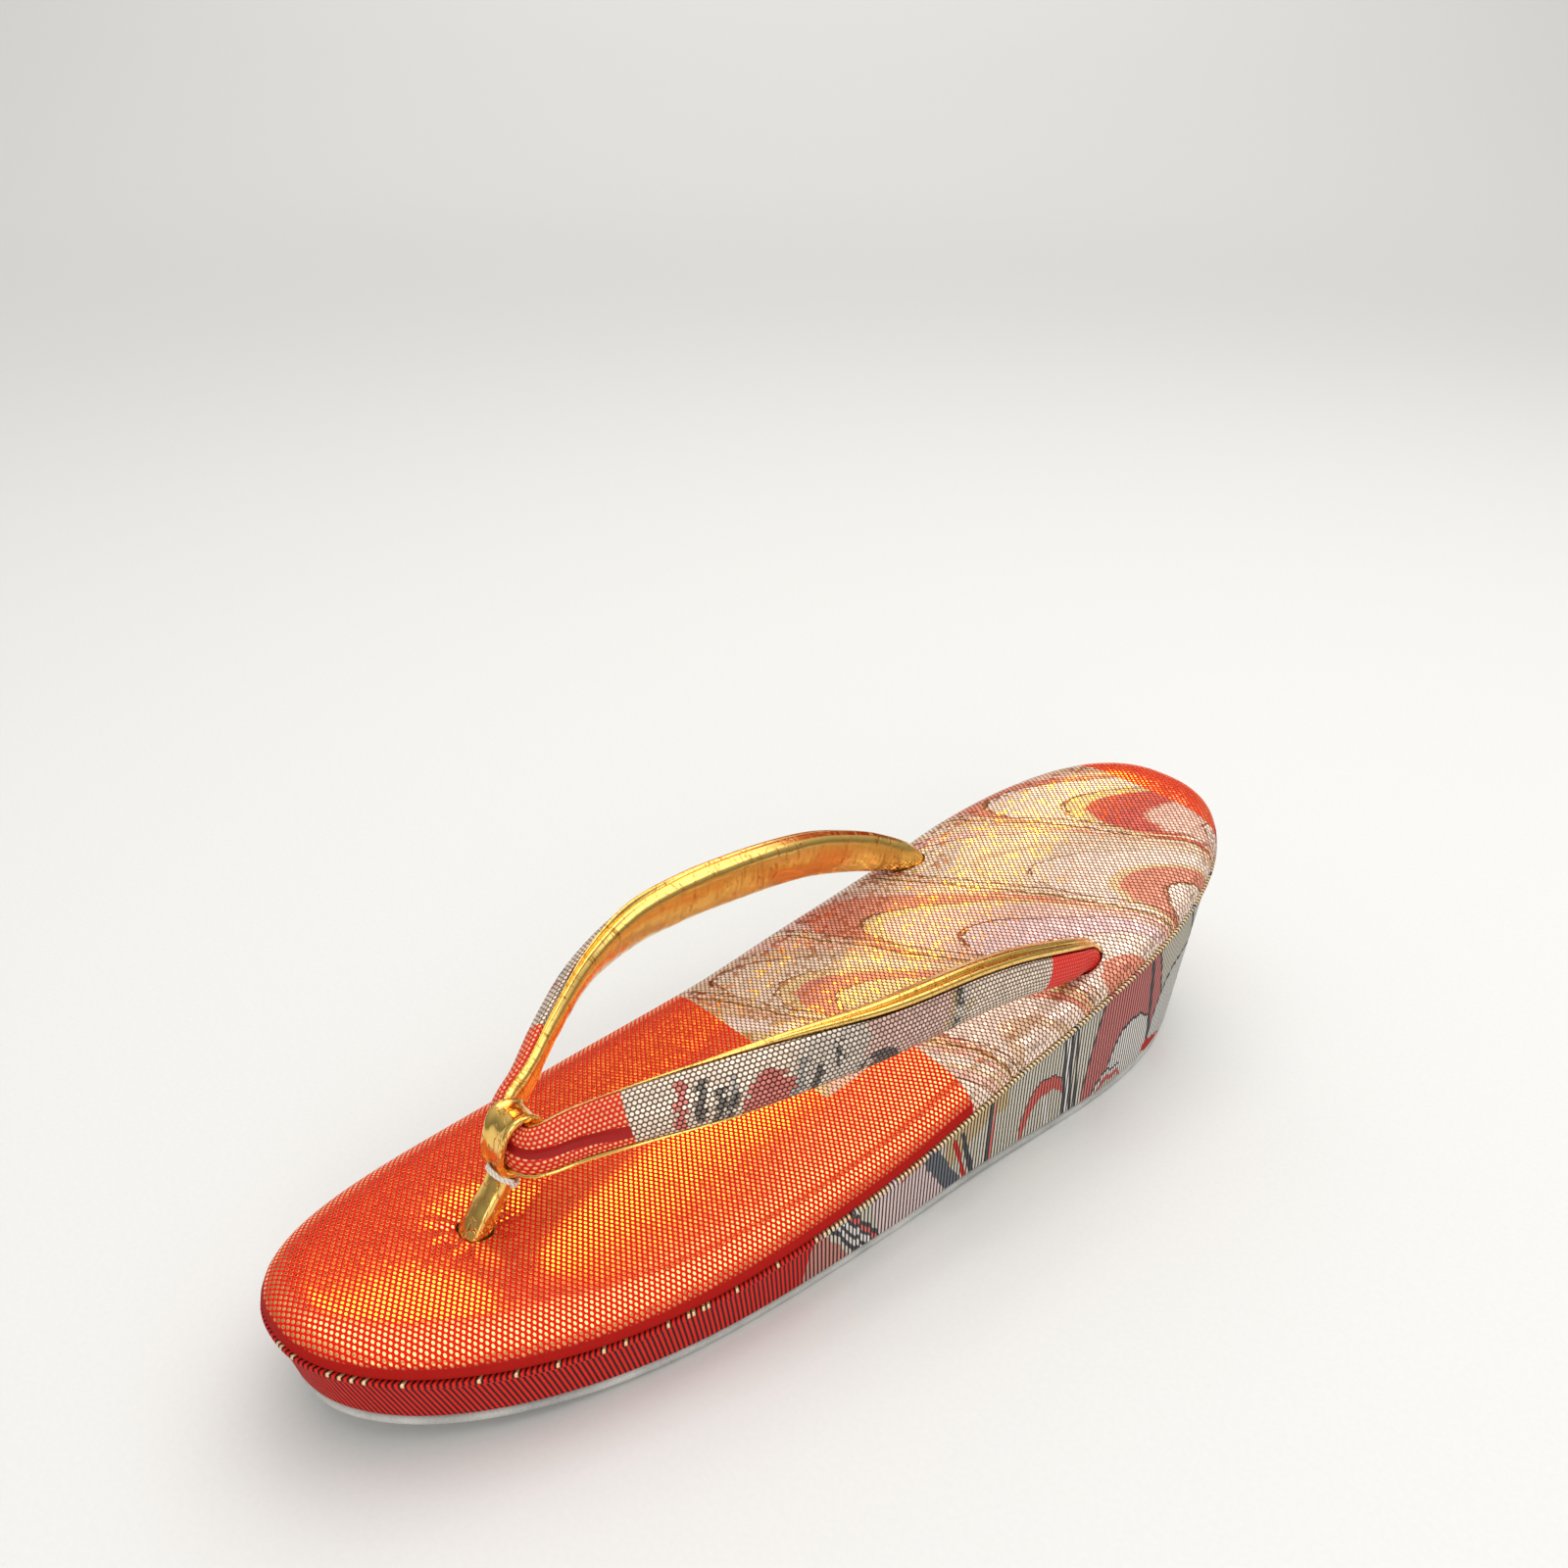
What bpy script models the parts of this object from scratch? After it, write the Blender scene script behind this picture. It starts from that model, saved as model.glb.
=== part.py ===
"""A zori sandal: a cloth-covered wedge with a padded foot bed and a V-shaped strap on a toe thong.

Metres, +Z up. The toe points to -Y and the heel to +Y. The origin lies on the floor, under the middle
of the sandal's length and width. The shape is the same left and right of X = 0.
"""

import math
from collections import namedtuple

import bmesh
import bpy
from mathutils import Vector

# Sole plan
SOLE_LENGTH = 0.235
BALL_WIDTH = 0.0725
HEEL_WIDTH = 0.0700
BALL_SHARE = 0.40         # share of the length, from the toe
HEEL_SHARE = 0.72         # share of the length, from the toe
TOE_SQUARENESS = 2.25     # 2 is an ellipse, more is squarer
HEEL_SQUARENESS = 2.35

# Sole side view
HEEL_THICKNESS = 0.0500   # from the ground side to the seam under the foot bed
TOE_SPRING = 0.0080
ARCH_LIFT = 0.0008
SPRING_END_SHARE = 0.32   # share of the length, from the toe
ARCH_START_SHARE = 0.46   # share of the length, from the toe
ARCH_END_SHARE = 0.70     # share of the length, from the toe
OUTSOLE_THICKNESS = 0.0020

# How far the ground side draws in from the seam
SIDE_TAPER = 0.0030
TOE_TAPER = 0.0030
HEEL_TAPER = 0.0070
OUTSOLE_STEP = 0.0004     # outsole edge inside the wrapped edge
WRAP_EDGE_RADIUS = 0.0012
FOLD_PROUD = 0.0007       # the side cloth's folded edge stands out below the seam
FOLD_DEPTH = 0.0015
FOLD_CREST_SHARE = 0.60   # share of its depth where the fold stands out most

# Foot bed
PAD_EDGE_HEIGHT = 0.0055
PAD_EDGE_ROLL = 0.0085
PAD_LIP = 0.0013
PAD_CROWN = 0.0016
PAD_TUCK = 0.0006
HOLE_DIMPLE = 0.0011
HOLE_DIMPLE_RADIUS = 0.0085

# Holes for thong and strap, on the foot bed
FRONT_HOLE_FROM_TOE = 0.0370
REAR_HOLE_FROM_HEEL = 0.0630
REAR_HOLE_OFFSET = 0.0272

# Strap
STRAP_WIDTH = 0.0114
STRAP_THICKNESS = 0.0064
STRAP_SPREAD = 0.0312
STRAP_RISE = 0.0264
LINING_SHARE = 0.42       # share of the thickness that the gold lining takes
LINING_EDGE = 0.0006      # how far the lining's rolled edge stands past the brocade
STRAP_SOCKET_SHARE = 0.32 # share of the sole's thickness that the strap's ends go down
APEX_WIDTH_SHARE = 0.80
APEX_THICKNESS_SHARE = 0.78
APEX_TILT = 14            # degrees the brocade looks up inside the thong's loop
BEND_RADIUS = 0.0018      # inner side of the bend where the strap leaves the loop
BEND_ANGLE = 54
BEND_CLIMB = 18           # degrees the strap rises where the bend ends
ARCH_FULLNESS = 0.80      # 1 is an ellipse, less is fuller

# Toe thong
THONG_LEAN = 0.0086
THONG_RISE = 0.0160
THONG_WIDTH = 0.0066
THONG_THICKNESS = 0.0050
THONG_NECK_SHARE = 0.86   # the post's width at the loop
THONG_SOCKET_SHARE = 0.64 # share of the sole's thickness that the post goes down
BAND_WIDTH = 0.0074
BAND_FOOT_SHARE = 0.80    # the loop's width at its foot
BAND_THICKNESS = 0.0012
BAND_EDGE_SHARE = 0.35    # share of its thickness that rounds the band's edges
LOOP_ROOM_SHARE = 0.35    # room behind the strap in the loop, as a share of BEND_RADIUS
TIE_RADIUS = 0.00040
TIE_DROP = 0.0016         # from the loop's foot down to the tie

PART_GAP = 0.0003
FIT_CLEARANCE = 0.0004
SOCKET_MOUTH = 0.0040     # how far the socket cutters reach out of the foot bed
OVAL_SQUARENESS = 0.85    # 1 is an ellipse, less is squarer

# Mesh steps
OUTLINE_POINTS = 84
ROLL_STEPS = 6
STRAP_STEP = 0.0048
COVER_ARC_STEPS = 8
LINING_ARC_STEPS = 7
BEND_STEPS = 4
OVAL_POINTS = 14
LOOP_POINTS = 20
TIE_POINTS = 6
MERGE_DISTANCE = 1e-6
SHARP_ANGLE = 40

# Thickness along the sole, from the toe
SOLE_STATIONS = (
    # share of length, share of HEEL_THICKNESS
    (0.00, 0.27),
    (0.22, 0.28),
    (0.50, 0.41),
    (0.80, 0.74),
    (1.00, 1.00),
)

# The strap's right arm from the toe thong to the rear hole. Run is a share of the way between them,
# spread, rise, width and thickness are shares of the strap's sizes, and tilt is how far the brocade
# looks up, in degrees.
STRAP_STATIONS = (
    # run, spread, rise, width, thickness, tilt
    (0.060, 0.300, 0.705, 0.84, 0.82, 19),
    (0.130, 0.490, 0.845, 0.89, 0.86, 26),
    (0.240, 0.745, 0.975, 0.97, 0.93, 29),
    (0.360, 0.905, 1.000, 1.00, 1.00, 22),
    (0.475, 0.975, 0.935, 1.00, 1.00, 16),
    (0.590, 0.995, 0.825, 1.00, 1.00, 12),
    (0.685, 1.000, 0.695, 0.98, 1.00, 10),
    (0.770, 1.005, 0.555, 0.95, 0.97, 8),
    (0.845, 0.995, 0.395, 0.90, 0.92, 6),
    (0.920, 0.960, 0.205, 0.82, 0.86, 3),
)
HOLE_WIDTH_SHARE = 0.62
HOLE_THICKNESS_SHARE = 0.78
SOCKET_SLOPE = Vector((-0.12, 0.48, -0.86)).normalized()

# Shares of the way from an outline to the centre line where a flat or low side gets a ring
INWARD_SHARES = (0.10, 0.35, 0.68, 1.0)
POST_SHARES = (0.0, 0.3, 0.6, 0.85, 1.0)

Station = namedtuple("Station", "centre width thickness tilt")


def between(low, high, share):
    """The value at that share of the way from low to high."""
    return low + (high - low) * share


def ease(share):
    """0 to 1 with soft ends."""
    return share * share * (3 - 2 * share)


def slope_at(keys, values, i):
    """A spline's slope at one of its keys: level where the values turn."""
    before = after = None
    if i > 0:
        before = (values[i] - values[i - 1]) / (keys[i] - keys[i - 1])
    if i < len(keys) - 1:
        after = (values[i + 1] - values[i]) / (keys[i + 1] - keys[i])
    if before is None:
        return after
    if after is None:
        return before
    if before * after <= 0:
        return 0.0
    behind, ahead = keys[i] - keys[i - 1], keys[i + 1] - keys[i]
    return (before * ahead + after * behind) / (behind + ahead)


def spline(keys, values, at):
    """A smooth value through rising keys, which doesn't overshoot them."""
    i = max(k for k in range(len(keys) - 1) if k == 0 or at >= keys[k])
    span = keys[i + 1] - keys[i]
    t = (at - keys[i]) / span
    return (
        values[i] * (1 + 2 * t) * (1 - t) ** 2
        + slope_at(keys, values, i) * span * t * (1 - t) ** 2
        + values[i + 1] * t * t * (3 - 2 * t)
        + slope_at(keys, values, i + 1) * span * t * t * (t - 1)
    )


def half_width(share):
    """Half the seam's width at that share of the length from the toe."""
    if share < BALL_SHARE:
        reach = (BALL_SHARE - share) / BALL_SHARE
        return BALL_WIDTH / 2 * max(1 - reach**TOE_SQUARENESS, 0) ** (1 / TOE_SQUARENESS)
    if share > HEEL_SHARE:
        reach = (share - HEEL_SHARE) / (1 - HEEL_SHARE)
        return HEEL_WIDTH / 2 * max(1 - reach**HEEL_SQUARENESS, 0) ** (1 / HEEL_SQUARENESS)
    along = (share - BALL_SHARE) / (HEEL_SHARE - BALL_SHARE)
    return between(BALL_WIDTH, HEEL_WIDTH, ease(along)) / 2


def station(y):
    """Share of the length at y, from the toe."""
    return min(max(y / SOLE_LENGTH + 0.5, 0.0), 1.0)


def underside(y):
    """Height of the ground side: toe spring, flat ball, slight arch, flat heel."""
    share = station(y)
    if share < SPRING_END_SHARE:
        return TOE_SPRING * ((SPRING_END_SHARE - share) / SPRING_END_SHARE) ** 2
    if ARCH_START_SHARE < share < ARCH_END_SHARE:
        along = (share - ARCH_START_SHARE) / (ARCH_END_SHARE - ARCH_START_SHARE)
        return ARCH_LIFT * math.sin(math.pi * along) ** 2
    return 0.0


def seam_height(y):
    """Height of the seam between the side cloth and the foot bed."""
    shares, thicknesses = zip(*SOLE_STATIONS)
    return underside(y) + HEEL_THICKNESS * spline(shares, thicknesses, station(y))


FRONT_HOLE_Y = -SOLE_LENGTH / 2 + FRONT_HOLE_FROM_TOE
REAR_HOLE_Y = SOLE_LENGTH / 2 - REAR_HOLE_FROM_HEEL
HOLE_CENTRES = (
    (0.0, FRONT_HOLE_Y),
    (REAR_HOLE_OFFSET, REAR_HOLE_Y),
    (-REAR_HOLE_OFFSET, REAR_HOLE_Y),
)


def pad_rise(inset):
    """Height of the foot bed above the seam, that far in from its edge."""
    across = min(inset / (BALL_WIDTH / 2), 1.0)
    crown = PAD_CROWN * (1 - (1 - across) ** 2)
    roll = min(inset / PAD_EDGE_ROLL, 1.0)
    return PAD_LIP + (PAD_EDGE_HEIGHT - PAD_LIP) * math.sqrt(max(1 - (1 - roll) ** 2, 0)) + crown


def dimple(x, y):
    """How far the cloth is drawn down round the holes."""
    pull = 0.0
    for hole_x, hole_y in HOLE_CENTRES:
        away = math.hypot(x - hole_x, y - hole_y) / HOLE_DIMPLE_RADIUS
        pull = max(pull, math.exp(-away * away))
    return HOLE_DIMPLE * pull


def bed_height(x, y):
    """Height of the foot bed's top at that place."""
    from_side = half_width(station(y)) - abs(x)
    from_end = SOLE_LENGTH / 2 - abs(y)
    return seam_height(y) + pad_rise(max(min(from_side, from_end), 0.0)) - dimple(x, y)


def hole_centre(x, y):
    """The middle of a hole on the foot bed's top."""
    return Vector((x, y, bed_height(x, y)))


def sole_depth(x, y):
    """Thickness of foot bed and wedge at that place, down to the outsole."""
    return bed_height(x, y) - underside(y) - OUTSOLE_THICKNESS


def outline(side, toe, heel):
    """The seam's plan outline, drawn in by those amounts, as (x, y) pairs from the toe round by +X."""
    points = []
    for i in range(OUTLINE_POINTS):
        turn = 2 * math.pi * i / OUTLINE_POINTS
        share = (1 - math.cos(turn)) / 2
        x = half_width(share) * (1 - side / (BALL_WIDTH / 2))
        y = between(-SOLE_LENGTH / 2 + toe, SOLE_LENGTH / 2 - heel, share)
        points.append((math.copysign(x, math.sin(turn)), y))
    return points


def ring(side, toe, heel, height):
    """A ring of points on that outline, with height(y) giving their Z."""
    return [Vector((x, y, height(y))) for x, y in outline(side, toe, heel)]


def inner_rings(side, toe, heel, height):
    """Rings that step from that outline to the centre line, to close a flat side."""
    rings = []
    for share in INWARD_SHARES:
        more = (BALL_WIDTH / 2 - side) * share
        rings.append(ring(side + more, toe + more, heel + more, height))
    return rings


def oval(half_across, half_out, count):
    """(across, out) pairs round an oval."""
    pairs = []
    for i in range(count):
        turn = 2 * math.pi * i / count
        across = math.copysign(abs(math.cos(turn)) ** OVAL_SQUARENESS, math.cos(turn))
        out = math.copysign(abs(math.sin(turn)) ** OVAL_SQUARENESS, math.sin(turn))
        pairs.append((half_across * across, half_out * out))
    return pairs


def material(name, colour, roughness, metallic=0.0):
    """A plain finish in that linear colour."""
    made = bpy.data.materials.new(name)
    made.use_nodes = True
    shader = made.node_tree.nodes["Principled BSDF"]
    shader.inputs["Base Color"].default_value = (*colour, 1.0)
    shader.inputs["Roughness"].default_value = roughness
    shader.inputs["Metallic"].default_value = metallic
    made.diffuse_color = (*colour, 1.0)
    return made


def skin(name, rings, finish, ends="filled"):
    """A closed object through rings of points of one count.

    Its ends are filled, joined to each other, or zipped where the end rings lie on the centre line.
    """
    bm = bmesh.new()
    rows = [[bm.verts.new(point) for point in points] for points in rings]
    count = len(rows[0])
    pairs = list(zip(rows, rows[1:]))
    if ends == "joined":
        pairs.append((rows[-1], rows[0]))
    for low, high in pairs:
        for i in range(count):
            j = (i + 1) % count
            bm.faces.new((low[i], low[j], high[j], high[i]))
    if ends == "filled":
        bm.faces.new(list(reversed(rows[0])))
        bm.faces.new(rows[-1])
    bmesh.ops.remove_doubles(bm, verts=bm.verts, dist=MERGE_DISTANCE)
    bmesh.ops.recalc_face_normals(bm, faces=bm.faces)
    mesh = bpy.data.meshes.new(name)
    bm.to_mesh(mesh)
    bm.free()
    mesh.materials.append(finish)
    mesh.shade_smooth()
    mesh.set_sharp_from_angle(angle=math.radians(SHARP_ANGLE))
    made = bpy.data.objects.new(name, mesh)
    bpy.context.scene.collection.objects.link(made)
    return made


def cut(target, cutter, operation="DIFFERENCE"):
    """Applies a Boolean of target with cutter, which is then only a guide."""
    step = target.modifiers.new(cutter.name, "BOOLEAN")
    step.operation = operation
    step.object = cutter
    step.solver = "EXACT"
    cutter.hide_render = True
    cutter.display_type = "WIRE"


def make_outsole(finish):
    """The thin sheet that meets the ground."""
    edge = [taper + OUTSOLE_STEP for taper in (SIDE_TAPER, TOE_TAPER, HEEL_TAPER)]

    def top(y):
        return underside(y) + OUTSOLE_THICKNESS

    rings = list(reversed(inner_rings(*edge, underside)))
    rings += [ring(*edge, underside), ring(*edge, top)]
    rings += inner_rings(*edge, top)
    return skin("outsole", rings, finish, ends="zipped")


def make_wedge(finish):
    """The core with its side cloth: a tapered wall, a folded cloth edge and a flat top."""

    def floor(y):
        return underside(y) + OUTSOLE_THICKNESS + PART_GAP

    def lid(y):
        return seam_height(y) - PART_GAP / 2

    low = (SIDE_TAPER, TOE_TAPER, HEEL_TAPER)
    wrapped = [taper + WRAP_EDGE_RADIUS for taper in low]
    tuck = (PAD_TUCK, PAD_TUCK, PAD_TUCK)
    foot = ring(*low, floor)
    head = ring(0.0, 0.0, 0.0, lid)

    def wall(drop, proud):
        """A ring on the side wall, drop(height) below the seam and that far proud of the wall."""
        points = []
        for below, above in zip(foot, head):
            height = above.z - below.z
            away = Vector((above.x, above.y * BALL_WIDTH / SOLE_LENGTH, 0.0)).normalized()
            points.append(above.lerp(below, drop(height) / height) + away * proud)
        return points

    rings = list(reversed(inner_rings(*wrapped, floor)))
    rings.append(ring(*wrapped, floor))
    rings.append(wall(lambda height: height - WRAP_EDGE_RADIUS, 0.0))
    rings.append(wall(lambda height: height / 2, 0.0))
    rings.append(wall(lambda height: FOLD_DEPTH, 0.0))
    rings.append(wall(lambda height: FOLD_DEPTH * FOLD_CREST_SHARE, FOLD_PROUD))
    rings.append(wall(lambda height: 0.0, FOLD_PROUD / 2))
    rings.append(ring(*tuck, lid))
    rings += inner_rings(*tuck, lid)
    return skin("wedge", rings, finish, ends="zipped")


def make_foot_bed(finish):
    """The padded foot bed: flat below, a rolled edge and a slight crown above."""

    def base(y):
        return seam_height(y) + PART_GAP / 2

    def lip(y):
        return base(y) + PAD_LIP / 2

    def top_ring(inset):
        points = ring(inset, inset, inset, seam_height)
        for point in points:
            point.z += pad_rise(inset) - dimple(point.x, point.y)
        return points

    tuck = (PAD_TUCK, PAD_TUCK, PAD_TUCK)
    bulge = (-PAD_TUCK / 2, -PAD_TUCK / 2, -PAD_TUCK / 2)
    rings = list(reversed(inner_rings(*tuck, base)))
    rings += [ring(*tuck, base), ring(*bulge, lip)]
    for i in range(ROLL_STEPS + 1):
        rings.append(top_ring(PAD_EDGE_ROLL * (1 - math.cos(math.pi / 2 * i / ROLL_STEPS))))
    for share in INWARD_SHARES[1:]:
        rings.append(top_ring(between(PAD_EDGE_ROLL, BALL_WIDTH / 2, share)))
    return skin("foot_bed", rings, finish, ends="zipped")


APEX = hole_centre(0.0, FRONT_HOLE_Y) + Vector((0.0, THONG_LEAN, THONG_RISE))
APEX_WIDTH = STRAP_WIDTH * APEX_WIDTH_SHARE
APEX_THICKNESS = STRAP_THICKNESS * APEX_THICKNESS_SHARE


def bend_stations():
    """The strap straight through the loop and its round bend beside it."""
    straight = (BAND_WIDTH - BEND_RADIUS) / 2
    radius = BEND_RADIUS + APEX_THICKNESS / 2
    stations = [Station(APEX, APEX_WIDTH, APEX_THICKNESS, APEX_TILT)]
    for i in range(BEND_STEPS + 1):
        share = i / BEND_STEPS
        turn = math.radians(BEND_ANGLE) * share
        climb = radius * turn * math.tan(math.radians(BEND_CLIMB)) * share / 2
        move = Vector((straight + radius * math.sin(turn), radius * (1 - math.cos(turn)), climb))
        stations.append(Station(APEX + move, APEX_WIDTH, APEX_THICKNESS, APEX_TILT))
    return stations


def arm_stations():
    """The right arm's stations, from the middle of the thong's loop to the end in the rear socket."""
    stations = bend_stations()
    for run, spread, rise, width, thickness, tilt in STRAP_STATIONS:
        y = between(APEX.y, REAR_HOLE_Y, run)
        z = seam_height(y) + PAD_EDGE_HEIGHT + PAD_CROWN + STRAP_RISE * rise
        centre = Vector((STRAP_SPREAD * spread, y, z))
        stations.append(Station(centre, STRAP_WIDTH * width, STRAP_THICKNESS * thickness, tilt))
    hole = hole_centre(REAR_HOLE_OFFSET, REAR_HOLE_Y)
    depth = STRAP_SOCKET_SHARE * sole_depth(REAR_HOLE_OFFSET, REAR_HOLE_Y)
    width = STRAP_WIDTH * HOLE_WIDTH_SHARE
    thickness = STRAP_THICKNESS * HOLE_THICKNESS_SHARE
    for share in (0.0, 0.5, 1.0):
        stations.append(Station(hole + SOCKET_SLOPE * depth * share, width, thickness, 0))
    return stations


def follow(stations):
    """Stations at about STRAP_STEP along a smooth curve through the given ones."""
    keys = [0.0]
    for a, b in zip(stations, stations[1:]):
        keys.append(keys[-1] + (b.centre - a.centre).length)
    columns = [(*s.centre, s.width, s.thickness, s.tilt) for s in stations]
    columns = list(zip(*columns))
    places = []
    for low, high in zip(keys, keys[1:]):
        parts = max(round((high - low) / STRAP_STEP), 1)
        places += [between(low, high, i / parts) for i in range(parts)]
    made = []
    for at in [*places, keys[-1]]:
        x, y, z, width, thickness, tilt = (spline(keys, column, at) for column in columns)
        made.append(Station(Vector((x, y, z)), width, thickness, tilt))
    return made


def mirrored(s):
    """That station on the left arm."""
    return s._replace(centre=Vector((-s.centre.x, s.centre.y, s.centre.z)))


def sweep(stations, section):
    """Rings of section(station) points, (across, out) pairs, along the strap's stations."""
    rings = []
    for i, s in enumerate(stations):
        before = stations[max(i - 1, 0)].centre
        after = stations[min(i + 1, len(stations) - 1)].centre
        along = (after - before).normalized()
        level_out = along.cross(Vector((0, 0, 1))).normalized()
        up = level_out.cross(along)
        tilt = math.radians(s.tilt)
        out = level_out * math.cos(tilt) + up * math.sin(tilt)
        across = up * math.cos(tilt) - level_out * math.sin(tilt)
        rings.append([s.centre + across * a + out * o for a, o in section(s)])
    return rings


def arch(half, split, height, steps):
    """An arch of (across, out) points over a flat side at split, with a point in the flat's middle."""
    points = []
    for i in range(steps + 1):
        turn = math.pi * i / steps
        points.append((half * math.cos(turn), split + height * math.sin(turn) ** ARCH_FULLNESS))
    points.append((0.0, split))
    return points


def cover_section(s):
    """The brocade side: a low arch over the lining."""
    split = s.thickness * (LINING_SHARE - 0.5) + PART_GAP / 2
    return arch(s.width / 2 - LINING_EDGE, split, s.thickness / 2 - split, COVER_ARC_STEPS)


def lining_section(s):
    """The gold side: a shallow strip with round, slightly wider edges."""
    split = s.thickness * (LINING_SHARE - 0.5) - PART_GAP / 2
    return arch(s.width / 2, split, -s.thickness / 2 - split, LINING_ARC_STEPS)


def socket_section(s):
    """The strap's whole section with its fitting clearance, for the holes."""
    return oval(s.width / 2 + FIT_CLEARANCE, s.thickness / 2 + FIT_CLEARANCE, OVAL_POINTS)


def make_rear_sockets(stations, finish):
    """Cutters for the two rear holes, which follow the strap's ends down."""
    entry = []
    for s in stations:
        if s.centre.z - s.width / 2 < bed_height(s.centre.x, s.centre.y) + SOCKET_MOUTH:
            entry.append(s)
    last = entry[-1]
    entry.append(last._replace(centre=last.centre + SOCKET_SLOPE * FIT_CLEARANCE))
    right = skin("right_socket", sweep(entry, socket_section), finish)
    left = skin("left_socket", sweep([mirrored(s) for s in entry], socket_section), finish)
    return [right, left]


def make_thong(finish):
    """The gold toe thong: a band looped round the strap and a post down into the sole.

    Returns the post's foot and head, for the tie and the socket.
    """
    tilt = math.radians(APEX_TILT)
    out = Vector((0, -math.cos(tilt), math.sin(tilt)))
    across = Vector((0, math.sin(tilt), math.cos(tilt)))
    rise = APEX_WIDTH / 2 + FIT_CLEARANCE
    reach = APEX_THICKNESS / 2 + FIT_CLEARANCE
    bend_room = BEND_RADIUS * LOOP_ROOM_SHARE

    def loop(offset, side):
        points = []
        for a, o in oval(rise + offset, reach + offset, LOOP_POINTS):
            if o < 0:
                o *= 1 + bend_room / reach
            width = between(BAND_FOOT_SHARE, 1.0, ease((a / (rise + offset) + 1) / 2))
            points.append(APEX + out * o + across * a + Vector((side * width, 0, 0)))
        return points

    half = BAND_WIDTH / 2
    soft = BAND_THICKNESS * BAND_EDGE_SHARE
    rings = [
        loop(0.0, -half),
        loop(BAND_THICKNESS - soft, -half),
        loop(BAND_THICKNESS, -half + soft),
        loop(BAND_THICKNESS, half - soft),
        loop(BAND_THICKNESS - soft, half),
        loop(0.0, half),
    ]
    thong = skin("front_thong", rings, finish, ends="joined")
    head = APEX - across * (rise + BAND_THICKNESS / 2)
    hole = hole_centre(0.0, FRONT_HOLE_Y)
    down = (hole - head).normalized()
    foot = hole + down * THONG_SOCKET_SHARE * sole_depth(0.0, FRONT_HOLE_Y)
    cut(thong, skin("thong_post", post_rings(foot, head, 0.0), finish), "UNION")
    return foot, head


def post_rings(foot, head, wider):
    """Rounded sections across the post between those points, slimmer at the head."""
    fore = (head - foot).normalized().cross(Vector((1, 0, 0)))
    rings = []
    for share in POST_SHARES:
        slim = between(1.0, THONG_NECK_SHARE, ease(share))
        half_across = THONG_WIDTH / 2 * slim + wider
        half_out = THONG_THICKNESS / 2 * slim + wider
        centre = foot.lerp(head, share)
        pairs = oval(half_across, half_out, OVAL_POINTS)
        rings.append([centre + Vector((a, 0, 0)) + fore * o for a, o in pairs])
    return rings


def make_front_socket(foot, head, finish):
    """Cutter for the front hole, wider and deeper than the post by the fitting clearance."""
    down = (foot - head).normalized()
    return skin("thong_socket", post_rings(foot + down * FIT_CLEARANCE, head, FIT_CLEARANCE), finish)


def make_tie(foot, head, finish):
    """The thread tied round the thong's neck, under the loop."""
    up = (head - foot).normalized()
    fore = up.cross(Vector((1, 0, 0)))
    centre = head - up * TIE_DROP
    off = TIE_RADIUS + PART_GAP
    half_across = THONG_WIDTH / 2 * THONG_NECK_SHARE + off
    half_out = THONG_THICKNESS / 2 * THONG_NECK_SHARE + off
    rings = []
    for a, o in oval(half_across, half_out, LOOP_POINTS):
        away = (Vector((a, 0, 0)) + fore * o).normalized()
        middle = centre + Vector((a, 0, 0)) + fore * o
        pairs = oval(TIE_RADIUS, TIE_RADIUS, TIE_POINTS)
        rings.append([middle + away * p + up * q for p, q in pairs])
    return skin("thong_tie", rings, finish, ends="joined")


def build():
    """Makes the whole sandal."""
    for old in list(bpy.data.objects):
        bpy.data.objects.remove(old)
    bed_cloth = material("bed_brocade", (0.68, 0.10, 0.035), 0.55)
    strap_cloth = material("strap_brocade", (0.62, 0.22, 0.15), 0.55)
    side_cloth = material("side_cloth", (0.60, 0.42, 0.36), 0.6)
    lining = material("lining_leather", (0.80, 0.50, 0.16), 0.30, 0.9)
    thong_leather = material("thong_leather", (0.74, 0.50, 0.20), 0.30, 0.9)
    thread = material("tie_thread", (0.80, 0.76, 0.70), 0.6)
    hide = material("sole_leather", (0.42, 0.42, 0.40), 0.75)

    make_outsole(hide)
    wedge = make_wedge(side_cloth)
    bed = make_foot_bed(bed_cloth)
    arm = follow(arm_stations())
    whole = [mirrored(s) for s in reversed(arm[1:])] + arm
    skin("strap_cover", sweep(whole, cover_section), strap_cloth)
    skin("strap_lining", sweep(whole, lining_section), lining)
    foot, head = make_thong(thong_leather)
    make_tie(foot, head, thread)
    for socket in [make_front_socket(foot, head, hide), *make_rear_sockets(arm, hide)]:
        cut(bed, socket)
        cut(wedge, socket)


build()
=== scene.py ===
import math
from collections import namedtuple
from functools import partial

import bmesh
import bpy
from mathutils import Matrix, Vector, noise


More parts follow.
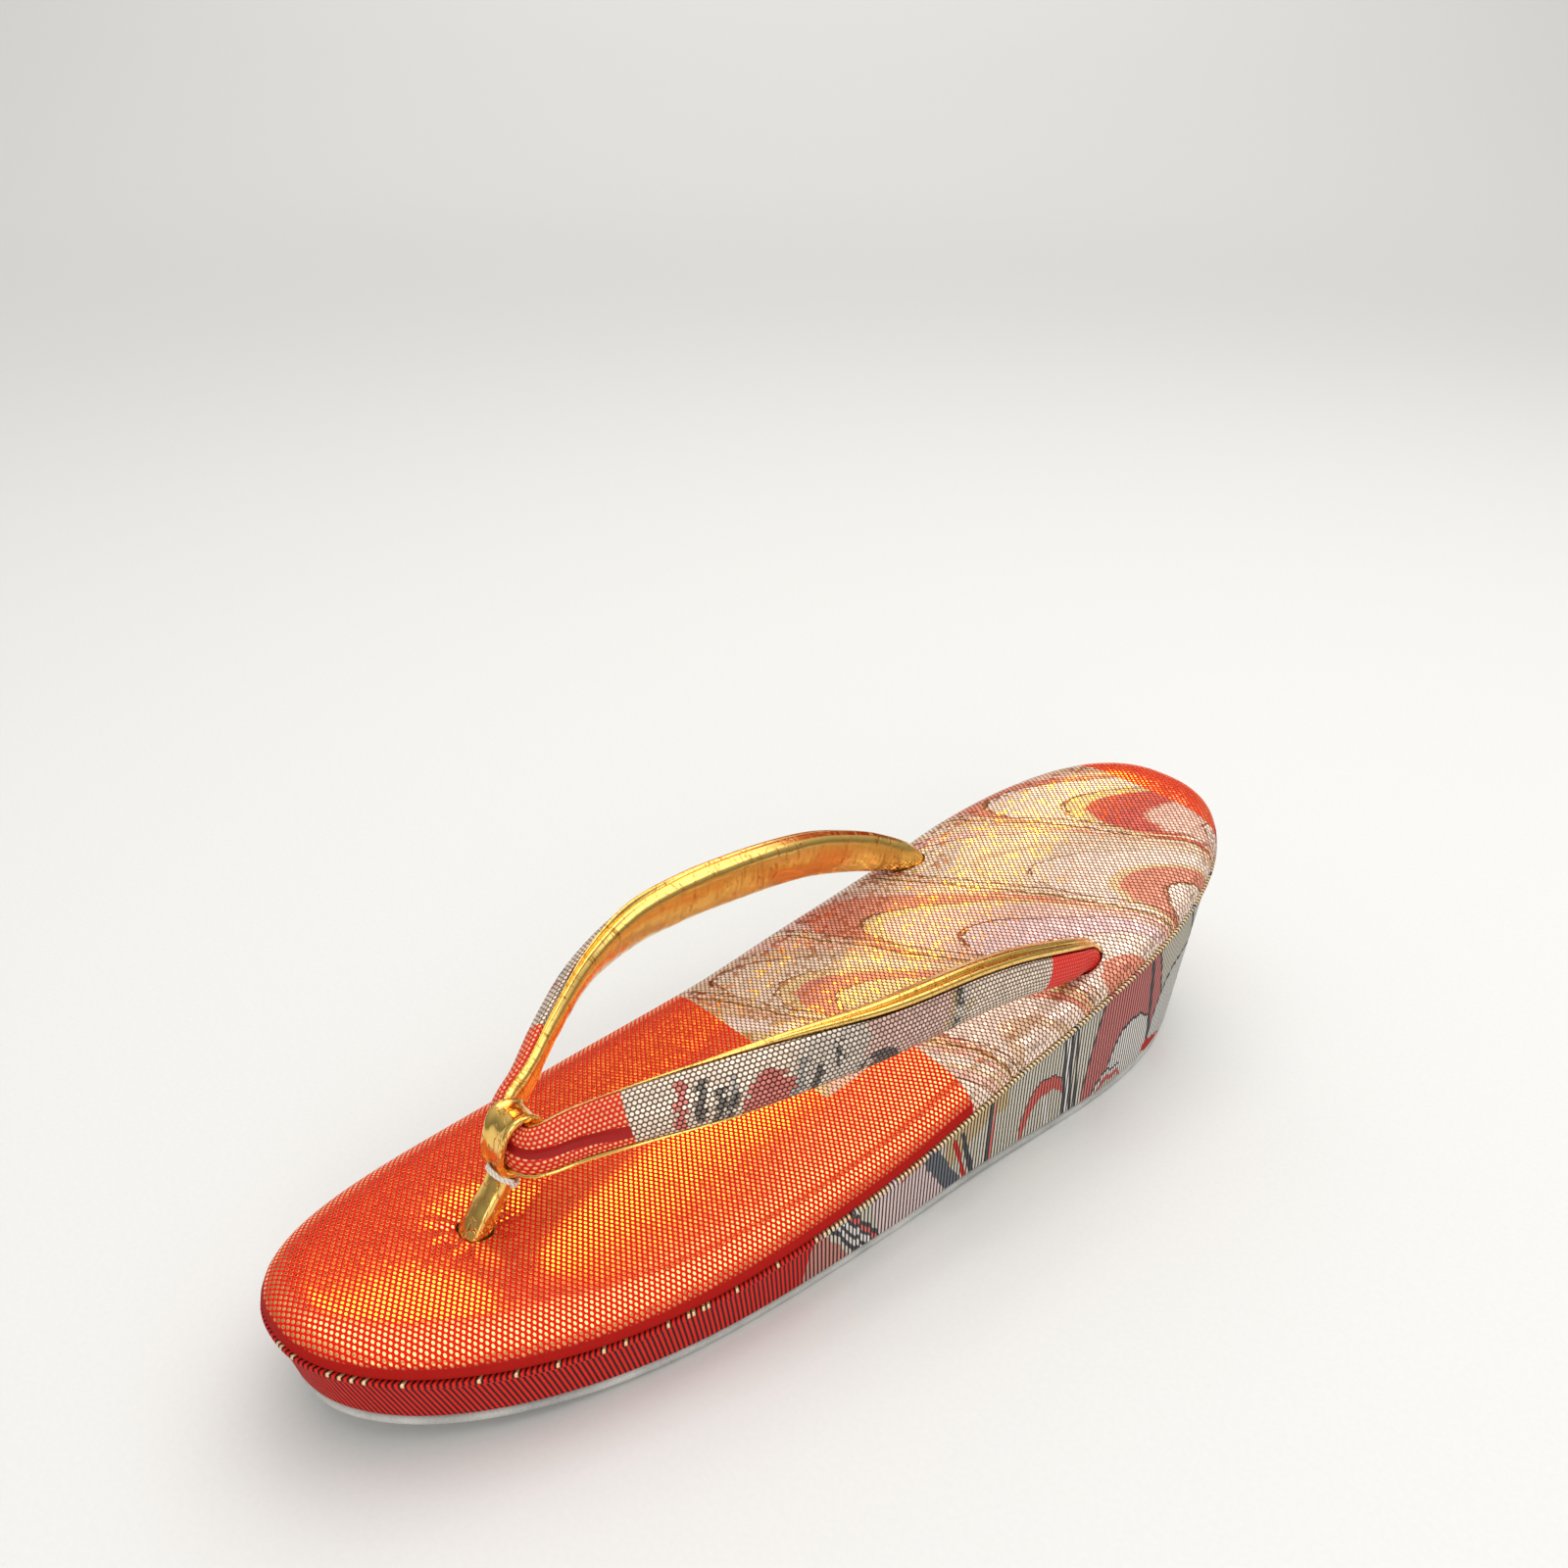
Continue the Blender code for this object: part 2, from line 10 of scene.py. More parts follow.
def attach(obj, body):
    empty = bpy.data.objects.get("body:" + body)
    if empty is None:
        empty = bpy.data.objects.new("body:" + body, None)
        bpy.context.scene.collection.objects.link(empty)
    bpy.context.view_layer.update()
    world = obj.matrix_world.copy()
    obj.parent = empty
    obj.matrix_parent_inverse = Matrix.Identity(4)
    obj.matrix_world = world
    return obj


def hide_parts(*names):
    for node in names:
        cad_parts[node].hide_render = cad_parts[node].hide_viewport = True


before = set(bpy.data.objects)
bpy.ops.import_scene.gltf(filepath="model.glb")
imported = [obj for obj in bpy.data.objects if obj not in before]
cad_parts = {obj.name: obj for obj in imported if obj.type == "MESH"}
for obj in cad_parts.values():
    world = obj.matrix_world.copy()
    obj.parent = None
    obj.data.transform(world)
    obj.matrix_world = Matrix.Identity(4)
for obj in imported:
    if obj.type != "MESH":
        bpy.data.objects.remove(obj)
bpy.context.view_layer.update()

# The sandal's sizes, in metres, as in its solids: toe to -Y, heel to +Y
SOLE_LENGTH = 0.235
BALL_WIDTH = 0.0725
HEEL_WIDTH = 0.0700
BALL_SHARE = 0.40         # share of the length, from the toe
HEEL_SHARE = 0.72
TOE_SQUARENESS = 2.25
HEEL_SQUARENESS = 2.35
HEEL_THICKNESS = 0.0500
TOE_SPRING = 0.0080
ARCH_LIFT = 0.0008
SPRING_END_SHARE = 0.32
ARCH_START_SHARE = 0.46
ARCH_END_SHARE = 0.70
OUTSOLE_THICKNESS = 0.0020
SIDE_TAPER = 0.0030
TOE_TAPER = 0.0030
HEEL_TAPER = 0.0070
OUTSOLE_STEP = 0.0004
WRAP_EDGE_RADIUS = 0.0012
FOLD_PROUD = 0.0007
FOLD_DEPTH = 0.0015
FOLD_ROUND = 0.86         # how much of a half circle the fold goes round
FOLD_FULLNESS = 0.7
PAD_EDGE_HEIGHT = 0.0055
PAD_EDGE_ROLL = 0.0085
PAD_LIP = 0.0013
PAD_CROWN = 0.0016
PAD_TUCK = 0.0006
HOLE_DIMPLE = 0.0011
HOLE_DIMPLE_RADIUS = 0.0085
FRONT_HOLE_FROM_TOE = 0.0370
REAR_HOLE_FROM_HEEL = 0.0630
REAR_HOLE_OFFSET = 0.0272
STRAP_WIDTH = 0.0114
STRAP_THICKNESS = 0.0064
STRAP_SPREAD = 0.0312
STRAP_RISE = 0.0264
LINING_SHARE = 0.42
STRAP_SOCKET_SHARE = 0.32
APEX_WIDTH_SHARE = 0.80
APEX_THICKNESS_SHARE = 0.78
APEX_TILT = 14            # degrees
BEND_RADIUS = 0.0018
BEND_ANGLE = 54           # degrees
BEND_CLIMB = 18           # degrees
BEND_STEPS = 4
ARCH_FULLNESS = 0.80
THONG_LEAN = 0.0086
THONG_RISE = 0.0160
THONG_WIDTH = 0.0066
THONG_THICKNESS = 0.0050
THONG_NECK_SHARE = 0.86
THONG_SOCKET_SHARE = 0.64
BAND_WIDTH = 0.0074
BAND_FOOT_SHARE = 0.80
BAND_THICKNESS = 0.0012
LOOP_ROOM_SHARE = 0.35
TIE_DROP = 0.0016
PART_GAP = 0.0003
FIT_CLEARANCE = 0.0004
SOCKET_MOUTH = 0.0040
OVAL_SQUARENESS = 0.85
SOLE_STATIONS = ((0.00, 0.27), (0.22, 0.28), (0.50, 0.41), (0.80, 0.74), (1.00, 1.00))
STRAP_STATIONS = (
    # run, spread, rise, width, thickness, tilt
    (0.060, 0.300, 0.705, 0.84, 0.82, 19),
    (0.130, 0.490, 0.845, 0.89, 0.86, 26),
    (0.240, 0.745, 0.975, 0.97, 0.93, 29),
    (0.360, 0.905, 1.000, 1.00, 1.00, 22),
    (0.475, 0.975, 0.935, 1.00, 1.00, 16),
    (0.590, 0.995, 0.825, 1.00, 1.00, 12),
    (0.685, 1.000, 0.695, 0.98, 1.00, 10),
    (0.770, 1.005, 0.555, 0.95, 0.97, 8),
    (0.845, 0.995, 0.395, 0.90, 0.92, 6),
    (0.920, 0.960, 0.205, 0.82, 0.86, 3),
)
HOLE_WIDTH_SHARE = 0.62
HOLE_THICKNESS_SHARE = 0.78
SOCKET_SLOPE = Vector((-0.12, 0.48, -0.86)).normalized()
INWARD_SHARES = (0.10, 0.35, 0.68, 1.0)

# Finer forms that only the looks have
OUTLINE_POINTS = 288
ROLL_STEPS = 12
CROWN_STEPS = 40
WALL_STEPS = 14
FOLD_STEPS = 8
WRAP_STEPS = 4
STRAP_STEP = 0.0016
COVER_ARC_STEPS = 26
FLAT_STEPS = 4
TURNOVER = (
    # mm from the thong, degrees of the outer side that the lining covers above and below
    (0, 8, 34), (12, 10, 36), (30, 17, 24), (50, 32, 8), (85, 54, 4), (200, 54, 4),
)
TURNOVER_STEPS = 18
BEAD_SHARE = 0.42         # the turned-over edge: a cord's bead, a groove and a soft roll
BEAD_HEIGHT = 0.00075
BEAD_FULLNESS = 0.6
GROOVE_SHARE = 0.54
GROOVE_DEPTH = 0.00055
ROLL_HEIGHT = 0.00030
BEAD_FULL_FROM = 34       # degrees of turnover from which the bead has its whole height
EDGE_GAP = 0.00018
EDGE_LEAN = 0.00090       # how far the cloths' edges run in under the bead
LINING_ARC_STEPS = 20
CREASE_DEPTH = 0.0009     # the brocade is pinched lengthwise beside the thong
CREASE_FROM = 80          # degrees round the section at the thong, and where the pinch ends
CREASE_TO = 120
CREASE_SPREAD = 12
CREASE_END = 0.028        # metres along the strap
WRINKLE = 0.00016         # creases of the gold lining
WRINKLE_GRAIN = (0.0022, 0.0060)
PUCKER = 0.00022          # folds of the bed's cloth round the holes
PUCKER_COUNT = 11
PUCKER_REACH = 0.0052
PUCKER_WIDTH = 0.0024
PUCKER_WANDER = 1.3       # how unevenly they lie round a hole
SOFTNESS = 0.00012        # slow unevenness of the padding
SOFTNESS_GRAIN = (0.016, 0.022)
BED_SLICE = 1.7           # where the noise is cut for the padding, and for the lining's creases
LINING_SLICE = 4.2
LOOP_POINTS = 96
POST_POINTS = 48
POST_STEPS = 40
POST_SEAM = (62, 9)       # degrees round the post to its seam's middle, and the seam's spread
POST_SEAM_DEPTH = 0.00045
CRUSH_DEPTH = 0.00015     # crushing of the post's leather
CRUSH_GRAIN = 0.0016
CRUSH_CHANGES = 9         # how often it changes along the post
GATHER_DEPTH = 0.00018    # lengthwise folds in the foot of the thong's loop
GATHER_COUNT = 13
GATHER_FADE = 1.6
WAVER_DEPTH = 0.00025     # unevenness of the loop's band
WAVER_GRAIN = 0.003
WAVER_SHARE = 0.6
TIE_TURNS = 2
TIE_STRAND = 0.00028
TIE_PITCH = 1.9           # strands' half thicknesses from turn to turn
TIE_SIDES = 10
MERGE_DISTANCE = 1e-6
UV_MAP = "cloth"          # in millimetres along and across the cloth

Station = namedtuple("Station", "centre width thickness tilt")


# The sandal's own lines
def between(low, high, share):
    """The value at that share of the way from low to high."""
    return low + (high - low) * share


def ease(share):
    """0 to 1 with soft ends."""
    share = min(max(share, 0.0), 1.0)
    return share * share * (3 - 2 * share)


def slope_at(keys, values, i):
    """A spline's slope at one of its keys: level where the values turn."""
    before = after = None
    if i > 0:
        before = (values[i] - values[i - 1]) / (keys[i] - keys[i - 1])
    if i < len(keys) - 1:
        after = (values[i + 1] - values[i]) / (keys[i + 1] - keys[i])
    if before is None:
        return after
    if after is None:
        return before
    if before * after <= 0:
        return 0.0
    behind, ahead = keys[i] - keys[i - 1], keys[i + 1] - keys[i]
    return (before * ahead + after * behind) / (behind + ahead)


def spline(keys, values, at):
    """A smooth value through rising keys, which doesn't overshoot them."""
    i = max(k for k in range(len(keys) - 1) if k == 0 or at >= keys[k])
    span = keys[i + 1] - keys[i]
    t = (at - keys[i]) / span
    return (
        values[i] * (1 + 2 * t) * (1 - t) ** 2
        + slope_at(keys, values, i) * span * t * (1 - t) ** 2
        + values[i + 1] * t * t * (3 - 2 * t)
        + slope_at(keys, values, i + 1) * span * t * t * (t - 1)
    )


def half_width(share):
    """Half the seam's width at that share of the length from the toe."""
    if share < BALL_SHARE:
        reach = (BALL_SHARE - share) / BALL_SHARE
        return BALL_WIDTH / 2 * max(1 - reach**TOE_SQUARENESS, 0) ** (1 / TOE_SQUARENESS)
    if share > HEEL_SHARE:
        reach = (share - HEEL_SHARE) / (1 - HEEL_SHARE)
        return HEEL_WIDTH / 2 * max(1 - reach**HEEL_SQUARENESS, 0) ** (1 / HEEL_SQUARENESS)
    along = (share - BALL_SHARE) / (HEEL_SHARE - BALL_SHARE)
    return between(BALL_WIDTH, HEEL_WIDTH, ease(along)) / 2


def station(y):
    """Share of the length at y, from the toe."""
    return min(max(y / SOLE_LENGTH + 0.5, 0.0), 1.0)


def underside(y):
    """Height of the ground side: toe spring, flat ball, slight arch, flat heel."""
    share = station(y)
    if share < SPRING_END_SHARE:
        return TOE_SPRING * ((SPRING_END_SHARE - share) / SPRING_END_SHARE) ** 2
    if ARCH_START_SHARE < share < ARCH_END_SHARE:
        along = (share - ARCH_START_SHARE) / (ARCH_END_SHARE - ARCH_START_SHARE)
        return ARCH_LIFT * math.sin(math.pi * along) ** 2
    return 0.0


def seam_height(y):
    """Height of the seam between the side cloth and the foot bed."""
    shares, thicknesses = zip(*SOLE_STATIONS)
    return underside(y) + HEEL_THICKNESS * spline(shares, thicknesses, station(y))


FRONT_HOLE_Y = -SOLE_LENGTH / 2 + FRONT_HOLE_FROM_TOE
REAR_HOLE_Y = SOLE_LENGTH / 2 - REAR_HOLE_FROM_HEEL
HOLE_CENTRES = (
    (0.0, FRONT_HOLE_Y),
    (REAR_HOLE_OFFSET, REAR_HOLE_Y),
    (-REAR_HOLE_OFFSET, REAR_HOLE_Y),
)


def pad_rise(inset):
    """Height of the foot bed above the seam, that far in from its edge."""
    across = min(inset / (BALL_WIDTH / 2), 1.0)
    crown = PAD_CROWN * (1 - (1 - across) ** 2)
    roll = min(inset / PAD_EDGE_ROLL, 1.0)
    return PAD_LIP + (PAD_EDGE_HEIGHT - PAD_LIP) * math.sqrt(max(1 - (1 - roll) ** 2, 0)) + crown


def dimple(x, y):
    """How far the cloth is drawn down round the holes."""
    pull = 0.0
    for hole_x, hole_y in HOLE_CENTRES:
        away = math.hypot(x - hole_x, y - hole_y) / HOLE_DIMPLE_RADIUS
        pull = max(pull, math.exp(-away * away))
    return HOLE_DIMPLE * pull


def bed_height(x, y):
    """Height of the foot bed's top at that place."""
    from_side = half_width(station(y)) - abs(x)
    from_end = SOLE_LENGTH / 2 - abs(y)
    return seam_height(y) + pad_rise(max(min(from_side, from_end), 0.0)) - dimple(x, y)


def hole_centre(x, y):
    """The middle of a hole on the foot bed's top."""
    return Vector((x, y, bed_height(x, y)))


def sole_depth(x, y):
    """Thickness of foot bed and wedge at that place, down to the outsole."""
    return bed_height(x, y) - underside(y) - OUTSOLE_THICKNESS


def ring(side, toe, heel, height):
    """A ring of points on the seam's outline drawn in by those amounts, from the toe round by +X."""
    points = []
    for i in range(OUTLINE_POINTS):
        turn = 2 * math.pi * i / OUTLINE_POINTS
        share = (1 - math.cos(turn)) / 2
        x = math.copysign(half_width(share) * (1 - side / (BALL_WIDTH / 2)), math.sin(turn))
        y = between(-SOLE_LENGTH / 2 + toe, SOLE_LENGTH / 2 - heel, share)
        points.append(Vector((x, y, height(y))))
    return points


def inner_rings(side, toe, heel, height):
    """Rings that step from that outline to the centre line, to close a flat side."""
    rings = []
    for share in INWARD_SHARES:
        more = (BALL_WIDTH / 2 - side) * share
        rings.append(ring(side + more, toe + more, heel + more, height))
    return rings


def oval(half_across, half_out, count):
    """(across, out) pairs round an oval."""
    pairs = []
    for i in range(count):
        turn = 2 * math.pi * i / count
        across = math.copysign(abs(math.cos(turn)) ** OVAL_SQUARENESS, math.cos(turn))
        out = math.copysign(abs(math.sin(turn)) ** OVAL_SQUARENESS, math.sin(turn))
        pairs.append((half_across * across, half_out * out))
    return pairs


# Mesh work
def loft(rings, coords=None, ends="open"):
    """A skin through rings of points: a grid with a row of corners for each ring, closed round.

    coords gives each ring's places on the cloth, with one more at the end of the ring for the seam.
    Its ends stay open, are filled, or are joined to each other.
    """
    if ends == "joined":
        rings = [*rings, rings[0]]
    count = len(rings[0])
    bm = bmesh.new()
    bmesh.ops.create_grid(bm, x_segments=count, y_segments=len(rings) - 1, size=1)
    bm.verts.index_update()
    spots = [divmod(i, count + 1) for i in range(len(bm.verts))]
    for vert, (k, i) in zip(bm.verts, spots):
        vert.co = rings[k][i % count]
    if coords:
        layer = bm.loops.layers.uv.new(UV_MAP)
        for loop in (loop for face in bm.faces for loop in face.loops):
            k, i = spots[loop.vert.index]
            u, v = coords[k][i]
            loop[layer].uv = (u * 1000, v * 1000)
    bmesh.ops.remove_doubles(bm, verts=bm.verts, dist=MERGE_DISTANCE)
    if ends == "filled":
        bmesh.ops.holes_fill(bm, edges=bm.edges)
    return bm


def to_object(name, bm, finish):
    """The finished mesh as an object, smooth and facing outwards."""
    bmesh.ops.recalc_face_normals(bm, faces=bm.faces)
    mesh = bpy.data.meshes.new(name)
    bm.to_mesh(mesh)
    bm.free()
    mesh.materials.append(finish)
    mesh.shade_smooth()
    made = bpy.data.objects.new(name, mesh)
    bpy.context.scene.collection.objects.link(made)
    return made


def dress(made, node):
    """The piece stands for that CAD node and moves with the sandal."""
    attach(made, "root")
    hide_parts(node)
    return made


def shape(target, cutters, operation="DIFFERENCE"):
    """Works the cutters into the target's mesh and removes them."""
    for cutter in cutters:
        step = target.modifiers.new(cutter.name, "BOOLEAN")
        step.operation = operation
        step.object = cutter
        step.solver = "EXACT"
    bpy.context.view_layer.update()
    depsgraph = bpy.context.evaluated_depsgraph_get()
    mesh = bpy.data.meshes.new_from_object(target.evaluated_get(depsgraph))
    target.modifiers.clear()
    target.data = mesh
    mesh.name = target.name


# Materials
# What the word after a node's kind sets, where it isn't the operation
MODES = {"Mix": "data_type", "MapRange": "interpolation_type", "TexWhiteNoise": "noise_dimensions"}
CLEAR = (0.0, 0.0, 0.0, 0.0)
EITHER_WAY = (-0.5, -0.5, -0.5)   # turns a share of 0 to 1 into one of -0.5 to 0.5


def linear(colour):
    """An sRGB hex colour as linear numbers."""
    parts = [int(colour[i : i + 2], 16) / 255 for i in (1, 3, 5)]
    parts = [p / 12.92 if p <= 0.04045 else ((p + 0.055) / 1.055) ** 2.4 for p in parts]
    return (*parts, 1.0)


def feed(node, *inputs, **named):
    """Fills a node's inputs, in order or by name, with values or with what they are linked to."""
    pairs = list(zip([socket for socket in node.inputs if socket.enabled], inputs))
    pairs += [(node.inputs[name.replace("_", " ")], value) for name, value in named.items()]
    for socket, value in pairs:
        if isinstance(value, bpy.types.Node):
            value = next(out for out in value.outputs if out.enabled)
        if isinstance(value, bpy.types.NodeSocket):
            node.id_data.links.new(value, socket)
        else:
            socket.default_value = value


def add(tree, kind, *inputs, stops=(), **named):
    """Adds a node of that kind and mode, as in "Math ADD", with its inputs and a ramp's stops.

    A name that starts with a capital is an input's, and any other is a setting's.
    """
    kind, _, mode = kind.partition(" ")
    made = tree.nodes.new("ShaderNode" + kind)
    if mode:
        setattr(made, MODES.get(kind, "operation"), mode)
    for name in [name for name in named if name.islower()]:
        setattr(made, name, named.pop(name))
    if stops:
        ramp = made.color_ramp
        ramp.interpolation = "CONSTANT"
        ramp.elements.remove(ramp.elements[-1])
        ramp.elements[0].position, ramp.elements[0].color = stops[0]
        for at, colour in stops[1:]:
            ramp.elements.new(at).color = colour
    feed(made, *inputs, **named)
    return made


def finish_named(name):
    """A new material, the way to add nodes to it, and its shader."""
    made = bpy.data.materials.new(name)
    made.use_nodes = True
    return made, partial(add, made.node_tree), made.node_tree.nodes["Principled BSDF"]


# Combed marbling, charted as rows of nested drops. Each column of drops has its own bands of
# colour, given as (millimetres down the column, colour), and a third entry puts a brown line before the
# band. Lines run between the columns.
PINK = linear("#eec4b4")
PALE = linear("#f4dcc8")
LILAC = linear("#eccac4")
BEIGE = linear("#ead2b8")
TAN = linear("#e2c0a0")
SALMON = linear("#e39479")
GOLD = linear("#ebcb98")
BROWN = linear("#9c6440")
RED = linear("#d9685a")
ROSE = linear("#f0c3ae")
LINED = True
LINE_WIDTH = 0.7          # mm

MARBLING_TURN = 64        # degrees from the sandal's length to the way the drops hang
MARBLING_FIRST = -16.0    # where column 0 lies across that way, in mm
MARBLING_PITCH = -24.4    # from column to column, in mm: they follow each other to smaller values
MARBLING_SHIFT = 13.0     # each column hangs that much further on, in mm
MARBLING_BOW = 103.4      # how far a band bends back at the column's sides, in mm
MARBLING_SKEW = 34.7
MARBLING_COMB = 12.0      # extra pull close to the next column, in mm
COMB_SHARPNESS = 8.0
MARBLING_WANDER = 3.0     # mm
WANDER_GRAIN = 17         # mm
MARBLING_START = -50.0    # mm down a column to its first band, and where the last one ends
MARBLING_END = 75.0
MARBLING_COLUMNS = (
    (-1, ((-50, TAN), (-30, PALE), (-12, GOLD), (-4, PINK), (9.5, PALE, LINED), (22, GOLD), (25, ROSE),
          (34.5, PALE, LINED), (44, BEIGE), (47, ROSE), (59, PALE, LINED))),
    (0, ((-50, ROSE), (-36.5, TAN, LINED), (-25, BEIGE, LINED), (-9.6, GOLD, LINED), (-5.5, SALMON),
         (4, GOLD, LINED), (14, SALMON), (24, PALE), (40, TAN), (46, PALE))),
    (1, ((-50, PALE), (-40, TAN), (-36, PINK), (-27.6, SALMON, LINED), (-12.4, GOLD, LINED), (-8, PINK),
         (11.2, LILAC, LINED), (28, PALE, LINED), (42, SALMON), (52, PALE))),
    (2, ((-50, BEIGE), (-41, GOLD), (-38, PINK), (-27, BEIGE, LINED), (-8, TAN), (-5, BEIGE),
         (6.6, PALE, LINED), (24, GOLD), (27, SALMON), (38, PALE, LINED), (50, ROSE))),
    (3, ((-50, TAN), (-43, ROSE), (-34, SALMON), (-25, PALE, LINED), (-5, GOLD, LINED), (0.6, RED),
         (13.8, SALMON), (15.3, ROSE), (29, PALE, LINED), (46, BEIGE))),
    (4, ((-50, PINK), (-37, PALE, LINED), (-22, SALMON), (-12, PALE, LINED), (0, GOLD), (5, ROSE),
         (20, PALE))),
)
# across a column, from one side to the other: line colours, clear between them
MARBLING_LINES = (
    (0.0, BROWN), (0.016, CLEAR), (0.045, GOLD), (0.06, CLEAR), (0.085, BROWN), (0.098, CLEAR),
    (0.90, GOLD), (0.915, CLEAR), (0.94, SALMON), (0.955, CLEAR), (0.978, GOLD),
)

CLAY = linear("#c98478")
ASH = linear("#a3a29e")
SMOKE = linear("#4b494e")
SLATE = linear("#686c74")
SILVER = linear("#dedbd4")
BLUSH = linear("#e0c6c2")
STRAW = linear("#d0b487")
OLIVE = linear("#d2cab8")
CORAL = linear("#dc655a")
BRICK = linear("#cd7670")
WHITE = linear("#e6dfd8")
CRIMSON = linear("#d61a08")

# The drops of the side's marbling, charted in the order in which they lie over each other:
# place of the tip (mm round the seam from the toe, mm below the seam), way it hangs (degrees towards
# the ground), half its width, how pointed it is, and its bands as (mm from the tip, colour).
SIDE_DROPS = (
    (86.7, -9.5, 52, 7.0, 0.05, ((0, CLAY),)),
    (143.0, -8.0, 70, 9.0, 0.04, ((0, STRAW), (18, CLEAR))),
    (122.0, -6.0, 64, 8.5, 0.05, ((0, SMOKE), (1.5, BLUSH))),
    (104.5, -4.0, 52, 2.6, 0.10, ((0, SMOKE),)),
    (102.8, -4.0, 52, 0.45, 0.10, ((0, WHITE),)),
    (104.8, -4.0, 52, 0.50, 0.10, ((0, WHITE),)),
    (106.9, -4.0, 53, 0.35, 0.10, ((0, CORAL),)),
    (127.0, -1.0, 80, 2.4, 0.10, ((0, CORAL), (3.4, CLEAR))),
    (131.5, 0.5, 54, 1.8, 0.30, ((0, SLATE),)),
    (140.5, 4.0, 61, 0.50, 0.30, ((0, CRIMSON),)),
    (143.0, 4.0, 62, 0.60, 0.30, ((0, SMOKE),)),
    (151.0, 2.0, 74, 0.55, 0.30, ((0, SMOKE),)),
    (153.0, 3.0, 76, 0.35, 0.30, ((0, CORAL),)),
    (169.0, 10.0, 66, 6.6, 0.20, ((0, SMOKE), (0.6, CORAL), (6.2, OLIVE))),
    (159.5, 13.5, 66, 3.6, 0.20, ((0, OLIVE),)),
    (173.5, 16.0, 68, 0.55, 0.20, ((0, WHITE),)),
    (175.0, -2.0, 70, 2.3, 0.10, ((0, SMOKE),)),
    (174.2, -2.0, 70, 0.55, 0.10, ((0, WHITE),)),
    (176.6, -2.0, 71, 0.40, 0.10, ((0, OLIVE),)),
    (191.0, -16.0, 72, 14.5, 0.19, ((0, SMOKE), (3.0, BRICK))),
    (201.0, 17.0, 62, 9.0, 0.16, ((0, SMOKE), (1.2, WHITE))),
    (196.6, 28.0, 60, 6.0, 0.16, ((0, SMOKE), (1.0, WHITE), (3.0, CORAL), (5.0, OLIVE))),
    (203.6, -2.0, 67, 0.60, 0.10, ((0, SMOKE),)),
    (221.0, -8.0, 53, 3.2, 0.05, ((0, SILVER),)),
    (219.6, -4.0, 55, 0.50, 0.10, ((0, SMOKE),)),
    (225.5, -5.0, 53, 0.90, 0.10, ((0, CORAL),)),
    (230.0, -5.0, 53, 0.55, 0.10, ((0, SMOKE),)),
    (234.5, -4.0, 54, 1.60, 0.10, ((0, SILVER),)),
    (220.5, 16.0, 56, 11.0, 0.10, ((0, SMOKE), (1.6, SILVER))),
    (217.0, 34.6, 30, 1.50, 0.20, ((0, CRIMSON), (22, CLEAR))),
)
DROP_REACH = 80.0         # mm, the longest drop
DROP_TIP = 0.001          # share of that by which a drop starts after its tip


def laid(node, place, colour, drops):
    """Lays drops of colour over a ground and over each other, at that place in millimetres."""
    for x, y, way, half, pointed, bands in drops:
        hang, size = (0, 0, math.radians(way)), (DROP_REACH, 1, 1)
        moved = node("Mapping", place, (x, y, 0), hang, size, vector_type="TEXTURE")
        down, aside, _ = node("SeparateXYZ", moved).outputs
        square = node("Math MULTIPLY", aside, aside)
        depth = node("Math MULTIPLY_ADD", square, -pointed / DROP_REACH, down)
        stops = [(0.0, CLEAR)] + [(at / DROP_REACH + DROP_TIP, tint) for at, tint in bands]
        band = node("ValToRGB", depth, stops=stops)
        inside = node("Math LESS_THAN", square, half * half)
        cover = node("Math MULTIPLY", inside, band.outputs["Alpha"])
        colour = node("Mix RGBA", cover, colour, band)
    return colour


def with_lines(bands):
    """A column's bands with the brown lines before them."""
    drawn = []
    for at, tint, *lined in bands:
        if lined:
            drawn.append((at - LINE_WIDTH, BROWN))
        drawn.append((at, tint))
    return drawn


